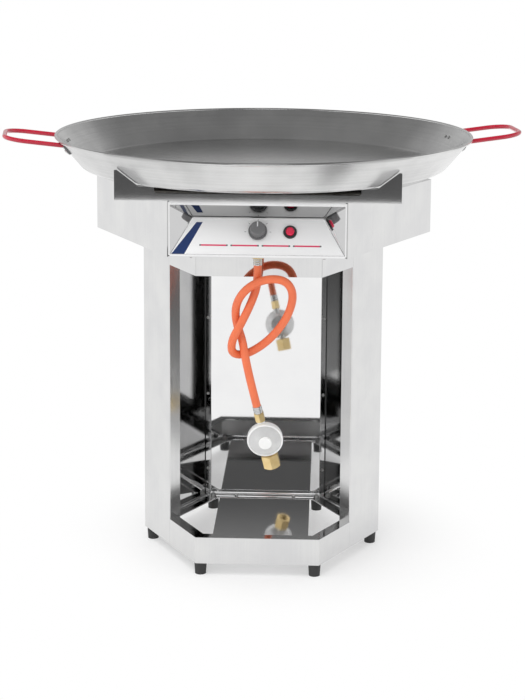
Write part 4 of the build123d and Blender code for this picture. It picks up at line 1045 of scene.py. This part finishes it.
@dataclass
class Fasteners:
    """Rivets, screws and bolts with real heads, on the seats that the CAD nodes give."""

    shop: Workshop
    kinds: tuple[FastenerKind, ...] = (
        rivet("sheet_rivets", "stand", 3 * MM),
        rivet("handle_rivets", "pan", 5.2 * MM),
        FastenerKind("housing_screws", "stand", Drive.SOCKET, head=9.5 * MM, head_height=3 * MM,
                     shank=5 * MM, length=6 * MM, upright=True),
        FastenerKind("stand_bolts", "stand", Drive.SOCKET, head=12 * MM, head_height=4 * MM,
                     shank=6 * MM, length=10 * MM, upright=True),
    )
    sort_digits: int = 5

    def islands(self, node: str) -> list[tuple[np.ndarray, np.ndarray, np.ndarray]]:
        """Separate solids of a node.

        Args:
            node: Name of the CAD node.

        Returns:
            Face normals, face areas and corner points of each solid.
        """
        shape = bmesh.new()
        shape.from_mesh(self.shop.node(node).data)
        bmesh.ops.remove_doubles(shape, verts=shape.verts, dist=MERGE)
        found = []
        waiting = set(shape.faces)
        while waiting:
            group = [waiting.pop()]
            for face in group:
                fresh = [near for edge in face.edges for near in edge.link_faces if near in waiting]
                waiting.difference_update(fresh)
                group.extend(dict.fromkeys(fresh))
            normals = np.array([face.normal for face in group])
            areas = np.array([face.calc_area() for face in group])
            points = np.array([corner.co for face in group for corner in face.verts])
            found.append((normals, areas, points))
        shape.free()
        return found

    def seats(self, kind: FastenerKind) -> list[tuple[Vector, Vector]]:
        """Top of the head and direction of each fastener.

        Args:
            kind: Fastener to look for.

        Returns:
            Pairs of a place and an outward direction, in a steady order.
        """
        found = []
        for normals, areas, points in self.islands(kind.node):
            if kind.upright:
                axis = np.array((0.0, 0.0, 1.0))
            else:
                spread = (normals * areas[:, None]).T @ normals
                axis = np.linalg.eigh(spread)[1][:, -1]
            middle = (points.min(0) + points.max(0)) / 2
            along = (points - middle) @ axis
            width = np.linalg.norm(points - middle - along[:, None] * axis, axis=1)
            if width[along > 0].max() < width[along < 0].max():
                axis, along = -axis, -along
            centre = middle + axis * (along.max() + along.min()) / 2
            top = centre + axis * (along.max() - along.min()) / 2
            found.append((Vector(top), Vector(axis)))
        return sorted(found, key=lambda seat: tuple(round(value, self.sort_digits) for value in seat[0]))

    def build(self) -> None:
        """Put a detailed fastener on every seat."""
        for kind in self.kinds:
            template = bpy.data.objects.new("fastener", lathe("fastener", kind.stations(), kind.sides))
            seats = self.seats(kind)
            points = bpy.data.meshes.new("seats")
            points.from_pydata([place for place, _ in seats], [], [])
            turns = points.attributes.new("turn", "FLOAT_VECTOR", "POINT")
            for item, (_, axis) in zip(turns.data, seats):
                item.vector = axis.to_track_quat("Z", "Y").to_euler()
            finish = self.shop.finishes["fasteners"]
            mesh = self.shop.seat.make(kind.node, points, {"Fastener": template, "Finish": finish})
            bpy.data.objects.remove(template)
            self.shop.add(f"{kind.node}_turned", mesh, kind.body, "fasteners", [kind.node])
            log.info("%s: %d seats, %s", kind.node, len(seats), kind.drive.value)


@dataclass
class Controls:
    """Ribs on the knob's grip."""

    shop: Workshop
    rib_count: int = 26
    rib_width: float = 1.5 * MM
    rib_height: float = 0.9 * MM
    rib_sink: float = 0.3 * MM
    rib_end: float = 0.2
    rib_steps: int = 4
    rib_crease: float = 50.0
    grip_foot: float = 7.6 * MM
    grip_top: float = 21.6 * MM
    foot_radius: float = 13.95 * MM
    top_radius: float = 12.75 * MM

    def rib(self) -> bpy.types.Mesh:
        """One rib along the cone of the grip, rounded on its back.

        Returns:
            The mesh, on the side of +X.
        """
        shape = bmesh.new()
        angles = [math.pi * step / self.rib_steps for step in range(self.rib_steps + 1)]
        rows = []
        for height, radius, proud in (
            (self.grip_foot, self.foot_radius, self.rib_end),
            (self.grip_foot + self.rib_height, self.foot_radius, 1.0),
            (self.grip_top - self.rib_height, self.top_radius, 1.0),
            (self.grip_top, self.top_radius, self.rib_end),
        ):
            row = []
            for angle in angles:
                across = self.rib_width / 2 * math.cos(angle)
                rise = (self.rib_sink + self.rib_height * proud) * math.sin(angle)
                row.append(shape.verts.new((radius - self.rib_sink + rise, across, height)))
            rows.append(row)
        for low, high in zip(rows, rows[1:]):
            for step in range(len(angles)):
                after = (step + 1) % len(angles)
                shape.faces.new((low[step], low[after], high[after], high[step]))
        shape.faces.new(rows[0])
        shape.faces.new(rows[-1])
        mesh = close_shape(shape, "rib")
        soften(mesh, self.rib_crease)
        return mesh

    def build(self) -> None:
        """Set the ribs round the knob, on the valve's axis."""
        joint = self.shop.joint("valve_turn")
        finish = self.shop.finishes["knob_plastic"]
        ribs = self.shop.ring.make("knob_ribs", self.rib(), {"Count": self.rib_count, "Finish": finish})
        ribs.transform(place_along(Vector(joint["pos_m"]), Vector(joint["axis"]), Vector((1, 0, 0))))
        self.shop.add("knob_ribs", ribs, "knob", "knob_plastic")


@dataclass
class Burner:
    """Welds round the roots of the burner's arms."""

    shop: Workshop
    hub_radius: float = 34.0 * MM
    arm_radius: float = 11.0 * MM
    arm_count: int = 6
    bead: float = 1.7 * MM
    lift: float = 1.7 * MM / 3
    pitch: float = 2.2 * MM
    path_points: int = 40
    seed: int = 5

    def build(self) -> None:
        """Lay a bead where each arm meets the hub."""
        low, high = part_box("burner_arms")
        level = (low.z + high.z) / 2
        reach = self.arm_radius + self.lift
        paths = bmesh.new()
        for arm in range(self.arm_count):
            turn = Matrix.Rotation(2 * math.pi * arm / self.arm_count, 4, "Z")
            ring = []
            for step in range(self.path_points):
                angle = 2 * math.pi * step / self.path_points
                across, up = reach * math.cos(angle), reach * math.sin(angle)
                out = math.sqrt(self.hub_radius ** 2 - across ** 2) + self.lift
                ring.append(paths.verts.new(turn @ Vector((out, across, level + up))))
            for first, second in zip(ring, ring[1:] + ring[:1]):
                paths.edges.new((first, second))
        finish = self.shop.finishes["burner_steel"]
        sizes = {"Pitch": self.pitch, "Bead": self.bead, "Seed": self.seed, "Finish": finish}
        welds = self.shop.bead.make("burner_welds", close_shape(paths, "weld_paths"), sizes)
        self.shop.add("burner_welds", welds, "stand", "burner_steel")


@dataclass
class GasLine:
    """Hose with its crimped ends, the regulator's rim and nuts, and the bottle nut's thread."""

    shop: Workshop
    diameter: float = 15.0 * MM
    length: float = 0.70
    hose_rounding: int = 7
    hose_steps: int = 14
    hose_order: int = 3
    sleeve_diameter: float = 16.4 * MM
    sleeve_grip: float = 0.4 * MM
    sleeve_overhang: float = 3.4 * MM
    sleeve_sides: int = 40
    crimp_pitch: float = 3.1 * MM
    crimp_count: int = 4
    crimp: tuple[Pair, ...] = ((0.985, 0.0), (1.0, 0.25), (1.0, 0.6), (0.95, 0.82), (0.95, 1.0))
    hose_nut_width: float = 17.0 * MM
    hose_nut_length: float = 18.0 * MM
    hose_nut_bore: float = 4.0 * MM
    nut_land: float = 0.47
    nut_bevel: float = 30.0
    nut_sides: int = 96
    bottle_nut_width: float = 30.0 * MM
    bottle_nut_length: float = 27.0 * MM
    bottle_nut_floor: float = 5.0 * MM
    bottle_bore: float = 10.1 * MM
    mouth_bevel: float = 0.9 * MM
    spigot_bore: float = 7.4 * MM
    nut_relief: float = 10.6 * MM
    thread_start: float = 12.9 * MM
    thread_pitch: float = 1.55 * MM
    thread_count: int = 8
    thread_root: float = 0.2 * MM
    thread_crest: float = 0.55 * MM
    thread_sides: int = 48
    rim_radius: float = 33.0 * MM
    rim_roll: float = 1.6 * MM
    rim_level: float = 3.4 * MM
    rim_foot: float = -1.0 * MM
    rim_steps: int = 10
    rim_sides: int = 96
    route: tuple[Triple, ...] = (
        (0, 0, 0), (0, 0, -22), (-2, 8, -48), (-13, 4, -78), (-30, -9, -112), (-46, -11, -141),
        (-47, -3, -168), (-24, 10, -174), (8, 10, -156), (36, 6, -128), (58, 0, -92), (66, -5, -54),
        (51, -11, -28), (15, -16, -25), (-20, -11, -44), (-40, 0, -76), (-40, 11, -112), (-28, 6, -142),
        (-22, -10, -170), (-14, -16, -205), (-6, -15, -238), (0, -8.5, -264),
    )
    carried: tuple[str, ...] = (
        "regulator_body", "regulator_diaphragm", "regulator_cover", "regulator_cap",
        "nut_seal", "hose_ferrule",
    )

    def origin(self) -> Vector:
        """Middle of the inlet collar's foot, where the hose starts."""
        low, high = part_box("inlet_fitting")
        return Vector(((low.x + high.x) / 2, (low.y + high.y) / 2, low.z))

    def way(self) -> tuple[Vector, Vector]:
        """Direction of the gas way through the regulator, and the side that its disc faces."""
        down = Vector(self.shop.joint("cylinder_nut_spin")["axis"]).normalized()
        return down, (FRONT - down * FRONT.dot(down)).normalized()

    def lay_hose(self) -> bpy.types.Object:
        """Draw the hose as one smooth curve along its route.

        Returns:
            The hose.
        """
        line = bpy.data.curves.new("gas_hose_run", "CURVE")
        line.dimensions = "3D"
        line.bevel_depth = self.diameter / 2
        line.bevel_resolution = self.hose_rounding
        line.resolution_u = self.hose_steps
        line.use_fill_caps = True
        spline = line.splines.new("NURBS")
        spline.points.add(len(self.route) - 1)
        start = self.origin()
        for point, step in zip(spline.points, self.route):
            point.co = (*(start + Vector(step) * MM), 1.0)
        spline.order_u = self.hose_order
        spline.use_endpoint_u = True
        line.materials.append(self.shop.finishes["hose_rubber"])
        hose = add_object("gas_hose_run", line)
        self.shop.ride(hose, "stand", "hose_rubber", ["gas_hose"])
        return hose

    def sleeve(self, name: str, start: Vector, axis: Vector) -> bpy.types.Object:
        """Crimped sleeve on an end of the hose.

        Args:
            name: Name of the piece.
            start: Middle of the sleeve's first edge.
            axis: Direction that the sleeve runs in.

        Returns:
            The piece.
        """
        radius, pitch = self.sleeve_diameter / 2, self.crimp_pitch
        inner = self.diameter / 2 - self.sleeve_grip
        fold = [(inner, 0.0), *((radius * out, pitch * along) for out, along in self.crimp), (inner, pitch)]
        ring = lathe("crimp", fold, self.sleeve_sides, closed=True)
        sizes = {"Count": self.crimp_count, "Pitch": pitch, "Finish": self.shop.finishes["ferrule_steel"]}
        mesh = self.shop.stack.make(name, ring, sizes)
        mesh.transform(place_along(start, axis, FRONT))
        return self.shop.add(name, mesh, "stand", "ferrule_steel")

    def nut(self, width: float, length: float, bore: Profile) -> bpy.types.Mesh:
        """Hexagon nut with turned ends, from height 0 up.

        Args:
            width: Size across flats.
            length: Height of the nut.
            bore: Stations of the bore, from the top down.

        Returns:
            The mesh.
        """
        flats = hexagon(width / 2)
        land = width * self.nut_land
        slope = math.tan(math.radians(self.nut_bevel))
        outside = [
            (land, 0.0),
            (flats, lambda angle: (flats(angle) - land) * slope),
            (flats, lambda angle: length - (flats(angle) - land) * slope),
            (land, length),
        ]
        return lathe("nut", [*outside, *bore], self.nut_sides, closed=True)

    def hose_nut(self) -> bpy.types.Object:
        """Turned nut between the hose and the regulator.

        Returns:
            The piece.
        """
        down, face = self.way()
        bore = [(self.hose_nut_bore, self.hose_nut_length), (self.hose_nut_bore, 0.0)]
        mesh = self.nut(self.hose_nut_width, self.hose_nut_length, bore)
        start = self.shop.middle("hose_nut") - down * (self.hose_nut_length / 2)
        mesh.transform(place_along(start, down, face))
        return self.shop.add("hose_nut_turned", mesh, "stand", "brass_fittings", ["hose_nut"])

    def bottle_nut(self) -> list[bpy.types.Object]:
        """Turned bottle nut, with the ridges of its thread.

        Returns:
            The nut and the ridges.
        """
        down, face = self.way()
        mouth = Vector(self.shop.joint("cylinder_nut_spin")["pos_m"])
        place = place_along(mouth - down * self.bottle_nut_length, down, face)
        nut = self.nut(self.bottle_nut_width, self.bottle_nut_length, [
            (self.bottle_bore + self.mouth_bevel, self.bottle_nut_length),
            (self.bottle_bore, self.bottle_nut_length - self.mouth_bevel),
            (self.bottle_bore, self.thread_start),
            (self.nut_relief, self.thread_start),
            (self.nut_relief, self.bottle_nut_floor),
            (self.spigot_bore, self.bottle_nut_floor),
            (self.spigot_bore, 0.0),
        ])
        nut.transform(place)
        turned = self.shop.add("bottle_nut_turned", nut, "cylinder_nut", "brass_fittings", ["cylinder_nut"])
        root, crest = self.bottle_bore + self.thread_root, self.bottle_bore - self.thread_crest
        section = [(root, 0.0), (crest, 0.5 * self.thread_pitch), (root, self.thread_pitch)]
        ridge = lathe("ridge", section, self.thread_sides, closed=True)
        ridge.transform(Matrix.Translation((0, 0, self.thread_start)))
        finish = self.shop.finishes["brass_fittings"]
        sizes = {"Count": self.thread_count, "Pitch": self.thread_pitch, "Finish": finish}
        thread = self.shop.stack.make("bottle_thread", ridge, sizes)
        thread.transform(place)
        return [turned, self.shop.add("bottle_thread", thread, "cylinder_nut", "brass_fittings")]

    def rim(self) -> bpy.types.Object:
        """Rolled rim round the edge of the regulator's cover.

        Returns:
            The piece.
        """
        down, face = self.way()
        middle = self.rim_radius - self.rim_roll
        turns = [math.pi * step / self.rim_steps for step in range(self.rim_steps + 1)]
        roll = [
            (middle + self.rim_roll * math.cos(turn), self.rim_level + self.rim_roll * math.sin(turn))
            for turn in turns
        ]
        mesh = lathe("rim", [*roll, (self.rim_radius, self.rim_foot)], self.rim_sides, closed=True)
        mesh.transform(place_along(self.shop.middle("regulator_diaphragm"), face, down))
        return self.shop.add("regulator_rim", mesh, "stand", "regulator_alloy")

    def build(self) -> None:
        hose = self.lay_hose()
        down, _ = self.way()
        length = self.crimp_pitch * self.crimp_count
        top = self.origin() + Vector((0, 0, length - self.sleeve_overhang))
        low = self.shop.middle("hose_ferrule") - down * (length / 2)
        fitted = [
            self.sleeve("inlet_sleeve", top, Vector((0, 0, -1))),
            self.sleeve("regulator_sleeve", low, down),
            self.hose_nut(),
            *self.bottle_nut(),
            self.rim(),
        ]
        carried = [self.shop.node(name) for name in self.carried]


@dataclass
class SpunPan:
    """The pan as a spun sheet with a rolled bead, finer than its CAD mesh."""

    shop: Workshop
    sheet: float = 2.0 * MM
    lean: float = 40.0
    corner: float = 20.0 * MM
    bead: float = 3.0 * MM
    sides: int = 224
    corner_steps: int = 9
    bead_steps: int = 22
    wall_steps: int = 4

    def stations(self) -> Profile:
        """Section from the middle of the pan's floor, up to the bead and back underneath.

        Returns:
            Radius and height of each station.
        """
        low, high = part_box("pan_bowl")
        lean = math.radians(self.lean)
        wall = Vector((math.sin(lean), math.cos(lean)))
        inward = Vector((-wall.y, wall.x))
        bead = Vector((high.x - self.bead, high.z - self.bead))
        base = bead.x - (bead.y - low.z) * math.tan(lean)
        turn = math.pi / 2 - lean
        centre = Vector((base - self.corner * math.tan(turn / 2), low.z + self.corner))
        angles = [-math.pi / 2 + turn * step / self.corner_steps for step in range(self.corner_steps + 1)]
        inner = [centre + ray(angle) * (self.corner - self.sheet) for angle in angles]
        outer = [centre + ray(angle) * self.corner for angle in angles]
        meet = inward * self.sheet - wall * math.sqrt(self.bead ** 2 - self.sheet ** 2)
        first = math.atan2(meet.y, meet.x) % (2 * math.pi)
        last = math.atan2(-wall.y, -wall.x)
        roll = [first + (last - first) * step / self.bead_steps for step in range(self.bead_steps + 1)]
        rolled = [bead + ray(angle) * self.bead for angle in roll]
        shares = [step / self.wall_steps for step in range(1, self.wall_steps)]
        inside = [inner[-1].lerp(rolled[0], share) for share in shares]
        outside = [rolled[-1].lerp(outer[-1], share) for share in shares]
        floor = [centre.x * share for share in shares]
        section = [Vector((reach, low.z + self.sheet)) for reach in floor] + inner + inside + rolled
        section += outside + outer[::-1] + [Vector((reach, low.z)) for reach in reversed(floor)]
        return [(0, low.z + self.sheet), *(tuple(point) for point in section), (0, low.z)]

    def build(self) -> None:
        """Turn the pan in place of its CAD node."""
        mesh = lathe("pan_spun", self.stations(), self.sides)
        self.shop.add("pan_spun", mesh, "pan", "pan_steel", ["pan_bowl"])


@dataclass
class FootFolds:
    """Folds at the stand's foot: the round of the bend and the hemmed edge of the flange."""

    shop: Workshop
    sheet: float = SHEET
    flange: float = 28.0 * MM
    bend: float = 6.0 * MM
    hem: float = 1.2 * MM
    steps: int = 8
    sides: int = 6

    def build(self) -> None:
        """Run both folds round the six sides."""
        low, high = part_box("rear_panel")
        level = low.z + self.sheet
        corner = 1 / math.cos(math.pi / self.sides)
        wall = high.y - self.sheet
        quarter = [math.pi / 2 * step / self.steps for step in range(self.steps + 1)]
        bend = [
            ((wall - self.bend * (1 - math.sin(angle))) * corner, level + self.bend * (1 - math.cos(angle)))
            for angle in quarter
        ]
        edge, middle = high.y - self.flange, level - self.sheet / 2
        turns = [math.pi * step / self.steps for step in range(2 * self.steps)]
        hem = [
            ((edge + self.hem * math.cos(turn)) * corner, middle + self.hem * math.sin(turn))
            for turn in turns
        ]
        for name, section in (("foot_bend", [*bend, (wall * corner, level)]), ("foot_hem", hem)):
            mesh = lathe(name, section, self.sides, closed=True)
            self.shop.add(name, mesh, "stand", "polished_sheet")


def upright(start: Pair, end: Pair, foot: float, top: float) -> list[Triple]:
    """Corners of an upright panel between two places in plan."""
    return [(*start, foot), (*end, foot), (*end, top), (*start, top)]


def level_square(half: float, level: float) -> list[Triple]:
    """Corners of a level square round the axis."""
    return [(-half, -half, level), (half, -half, level), (half, half, level), (-half, half, level)]


@dataclass
class Studio:
    """White floor, soft light and the dark end of the room that polished steel reflects."""

    floor_reach: float = 40.0
    floor_colour: Colour = (0.95, 0.95, 0.95)
    shade_reach: Pair = (0.17, 0.48)
    shade_white: float = 0.4
    sky_light: float = 0.86
    key_power: float = 50.0
    key_size: float = 2.4
    key_place: Triple = (-0.9, -1.3, 3.2)
    key_target: Triple = (0.0, 0.0, 0.5)
    curtain_y: float = -3.95
    curtain_half: float = 2.4
    curtain_foot: float = 0.1
    curtain_top: float = 3.6
    curtain_fade: Fade = (0.09, 0.22, 1.42, 1.75)
    back_half: float = 7.0
    back_foot: float = 0.35
    back_fade: Fade = (0.64, 0.5, 0.35, 3.6)
    strip_y: float = -3.9
    strip_half: float = 1.0
    strip_z: Pair = (1.9, 3.4)
    strip_fade: Fade = (1.6, 1.6, 0.0, 1.0)
    wing_place: Pair = (0.31, -0.29)
    wing_top: float = 0.46
    card_fade: Fade = (0.7, 0.2, 0.8, 1.2)
    left_fade: Fade = (0.75, 0.75, 0.0, 1.0)
    right_fade: Fade = (0.45, 0.14, 0.0, 0.35)
    ceiling_z: float = 3.6
    ceiling_half: float = 5.0
    ceiling_fade: Fade = (0.222, 0.55, 3.0, 6.0)

    def panel(self, name: str, corners: Sequence[Triple], surface: Surface) -> bpy.types.Object:
        """Flat stage piece.

        Args:
            name: Name of the piece.
            corners: Its corners in order.
            surface: What it is painted with.

        Returns:
            The piece, marked as stage.
        """
        mesh = bpy.data.meshes.new(name)
        mesh.from_pydata(corners, [], [tuple(range(len(corners)))])
        mesh.materials.append(surface.material)
        piece = add_object(name, mesh)
        piece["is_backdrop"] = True
        return piece

    def background_rays(self, graph: Graph) -> Link:
        """Share of a ray that sees the background: camera, glossy and transmission rays.

        Args:
            graph: Tree that is being built.

        Returns:
            1 for such a ray and 0 for any other.
        """
        path = graph.node("ShaderNodeLightPath")
        rays = ("Is Camera Ray", "Is Glossy Ray", "Is Transmission Ray")
        camera, glossy, through = (Link(graph, path.outputs[name]) for name in rays)
        return camera.larger(glossy).larger(through)

    def lay_floor(self) -> None:
        """Lay the pale floor, which keeps the shadow and fades to white further out."""
        surface = Surface("studio_floor")
        far = surface.reach().rise(*self.shade_reach)
        paper = surface.node("ShaderNodeBsdfDiffuse", None, {"Color": (*self.floor_colour, 1.0)})
        white = surface.node("ShaderNodeEmission", None, {"Color": WHITE, "Strength": 1.0})
        share = (far * (1 - self.shade_white) + self.shade_white) * self.background_rays(surface)
        both = surface.node("ShaderNodeMixShader", None, {0: share, 1: paper.outputs[0], 2: white.outputs[0]})
        surface.node("ShaderNodeOutputMaterial", None, {"Surface": both.outputs[0]})
        self.panel("studio_floor", level_square(self.floor_reach, 0.0), surface)

    def hang_flag(self, name: str, corners: Sequence[Triple], fade: Fade, outwards: bool = False) -> None:
        """Hang a panel that only reflections see.

        Args:
            name: Name of the panel.
            corners: Its corners in order.
            fade: Two brightnesses, and the two heights or distances between which one becomes the other.
            outwards: Whether it changes with the distance from the object, and not with the height.
        """
        surface = Surface(name)
        first, second, low, high = fade
        place = surface.reach() if outwards else surface.axes()[2]
        grey = place.rise(low, high) * (second - first) + first
        glow = surface.node("ShaderNodeEmission", None, {"Color": WHITE, "Strength": grey})
        surface.node("ShaderNodeOutputMaterial", None, {"Surface": glow.outputs[0]})
        flag = self.panel(name, corners, surface)
        flag.visible_camera = False
        flag.visible_diffuse = False
        flag.visible_shadow = False
        flag.visible_transmission = False

    def hang_flags(self) -> None:
        """Hang the dark end of the room, its sides, its far wall, a strip of light and the ceiling."""
        half, y, top = self.curtain_half, self.curtain_y, self.curtain_top
        curtain = upright((-half, y), (half, y), self.curtain_foot, top)
        self.hang_flag("dark_curtain", curtain, self.curtain_fade)
        for name, side, fade in (("left_wing", -1, self.left_fade), ("right_wing", 1, self.right_fade)):
            near, far = (side * self.wing_place[0], self.wing_place[1]), (side * half, y)
            self.hang_flag(name, upright(near, far, 0.0, self.wing_top), fade)
            self.hang_flag(f"{name}_card", upright(near, far, self.wing_top, top), self.card_fade)
        half, y = self.back_half, self.ceiling_half
        self.hang_flag("back_curtain", upright((-half, y), (half, y), self.back_foot, top), self.back_fade)
        half, y = self.strip_half, self.strip_y
        self.hang_flag("strip_light", upright((-half, y), (half, y), *self.strip_z), self.strip_fade)
        ceiling = level_square(self.ceiling_half, self.ceiling_z)
        self.hang_flag("grey_ceiling", ceiling, self.ceiling_fade, outwards=True)

    def light(self) -> None:
        """Set the world and one large soft lamp."""
        world = bpy.data.worlds.new("studio")
        world.use_nodes = True
        bpy.context.scene.world = world
        graph = Graph(world.node_tree)
        strength = self.background_rays(graph) * (1 - self.sky_light) + self.sky_light
        sky = graph.node("ShaderNodeBackground", None, {"Color": WHITE, "Strength": strength})
        graph.node("ShaderNodeOutputWorld", None, {"Surface": sky.outputs[0]})
        lamp = bpy.data.lights.new("key", "AREA")
        lamp.energy = self.key_power
        lamp.size = self.key_size
        key = add_object("key", lamp)
        key.location = self.key_place
        key.visible_glossy = False
        aim = Vector(self.key_target) - Vector(self.key_place)
        key.rotation_euler = aim.to_track_quat("-Z", "Y").to_euler()

    def build(self) -> None:
        """Set up the studio."""
        self.lay_floor()
        self.hang_flags()
        self.light()
        bpy.context.scene.view_settings.view_transform = "Standard"


@dataclass
class PhotoCamera:
    """Camera at the photograph's viewing angle."""

    place: Triple = (0.131, -3.4948, 1.2865)
    turn: float = 2.235
    pitch: float = 10.03
    roll: float = -0.35
    lens: float = 94.4
    shift: float = -0.2

    def build(self) -> None:
        """Make the camera and use it."""
        data = bpy.data.cameras.new("photo_camera")
        data.lens = self.lens
        data.shift_y = self.shift
        camera = add_object("photo_camera", data)
        camera.location = self.place
        camera.rotation_euler = [math.radians(angle) for angle in (90 - self.pitch, self.roll, self.turn)]
        bpy.context.scene.camera = camera


def write_sizes() -> None:
    """Bring the view layer up to date.
    """
    bpy.context.view_layer.update()


def main() -> None:
    """Build the scene in order."""
    logging.basicConfig(level=logging.INFO, format="%(name)s: %(message)s")
    shop = Workshop()
    shop.dress()
    PhotoCamera().build()
    GasLine(shop).build()
    Fasteners(shop).build()
    Controls(shop).build()
    Burner(shop).build()
    SpunPan(shop).build()
    FootFolds(shop).build()
    Studio().build()
    write_sizes()


if __name__ == "__main__":
    main()
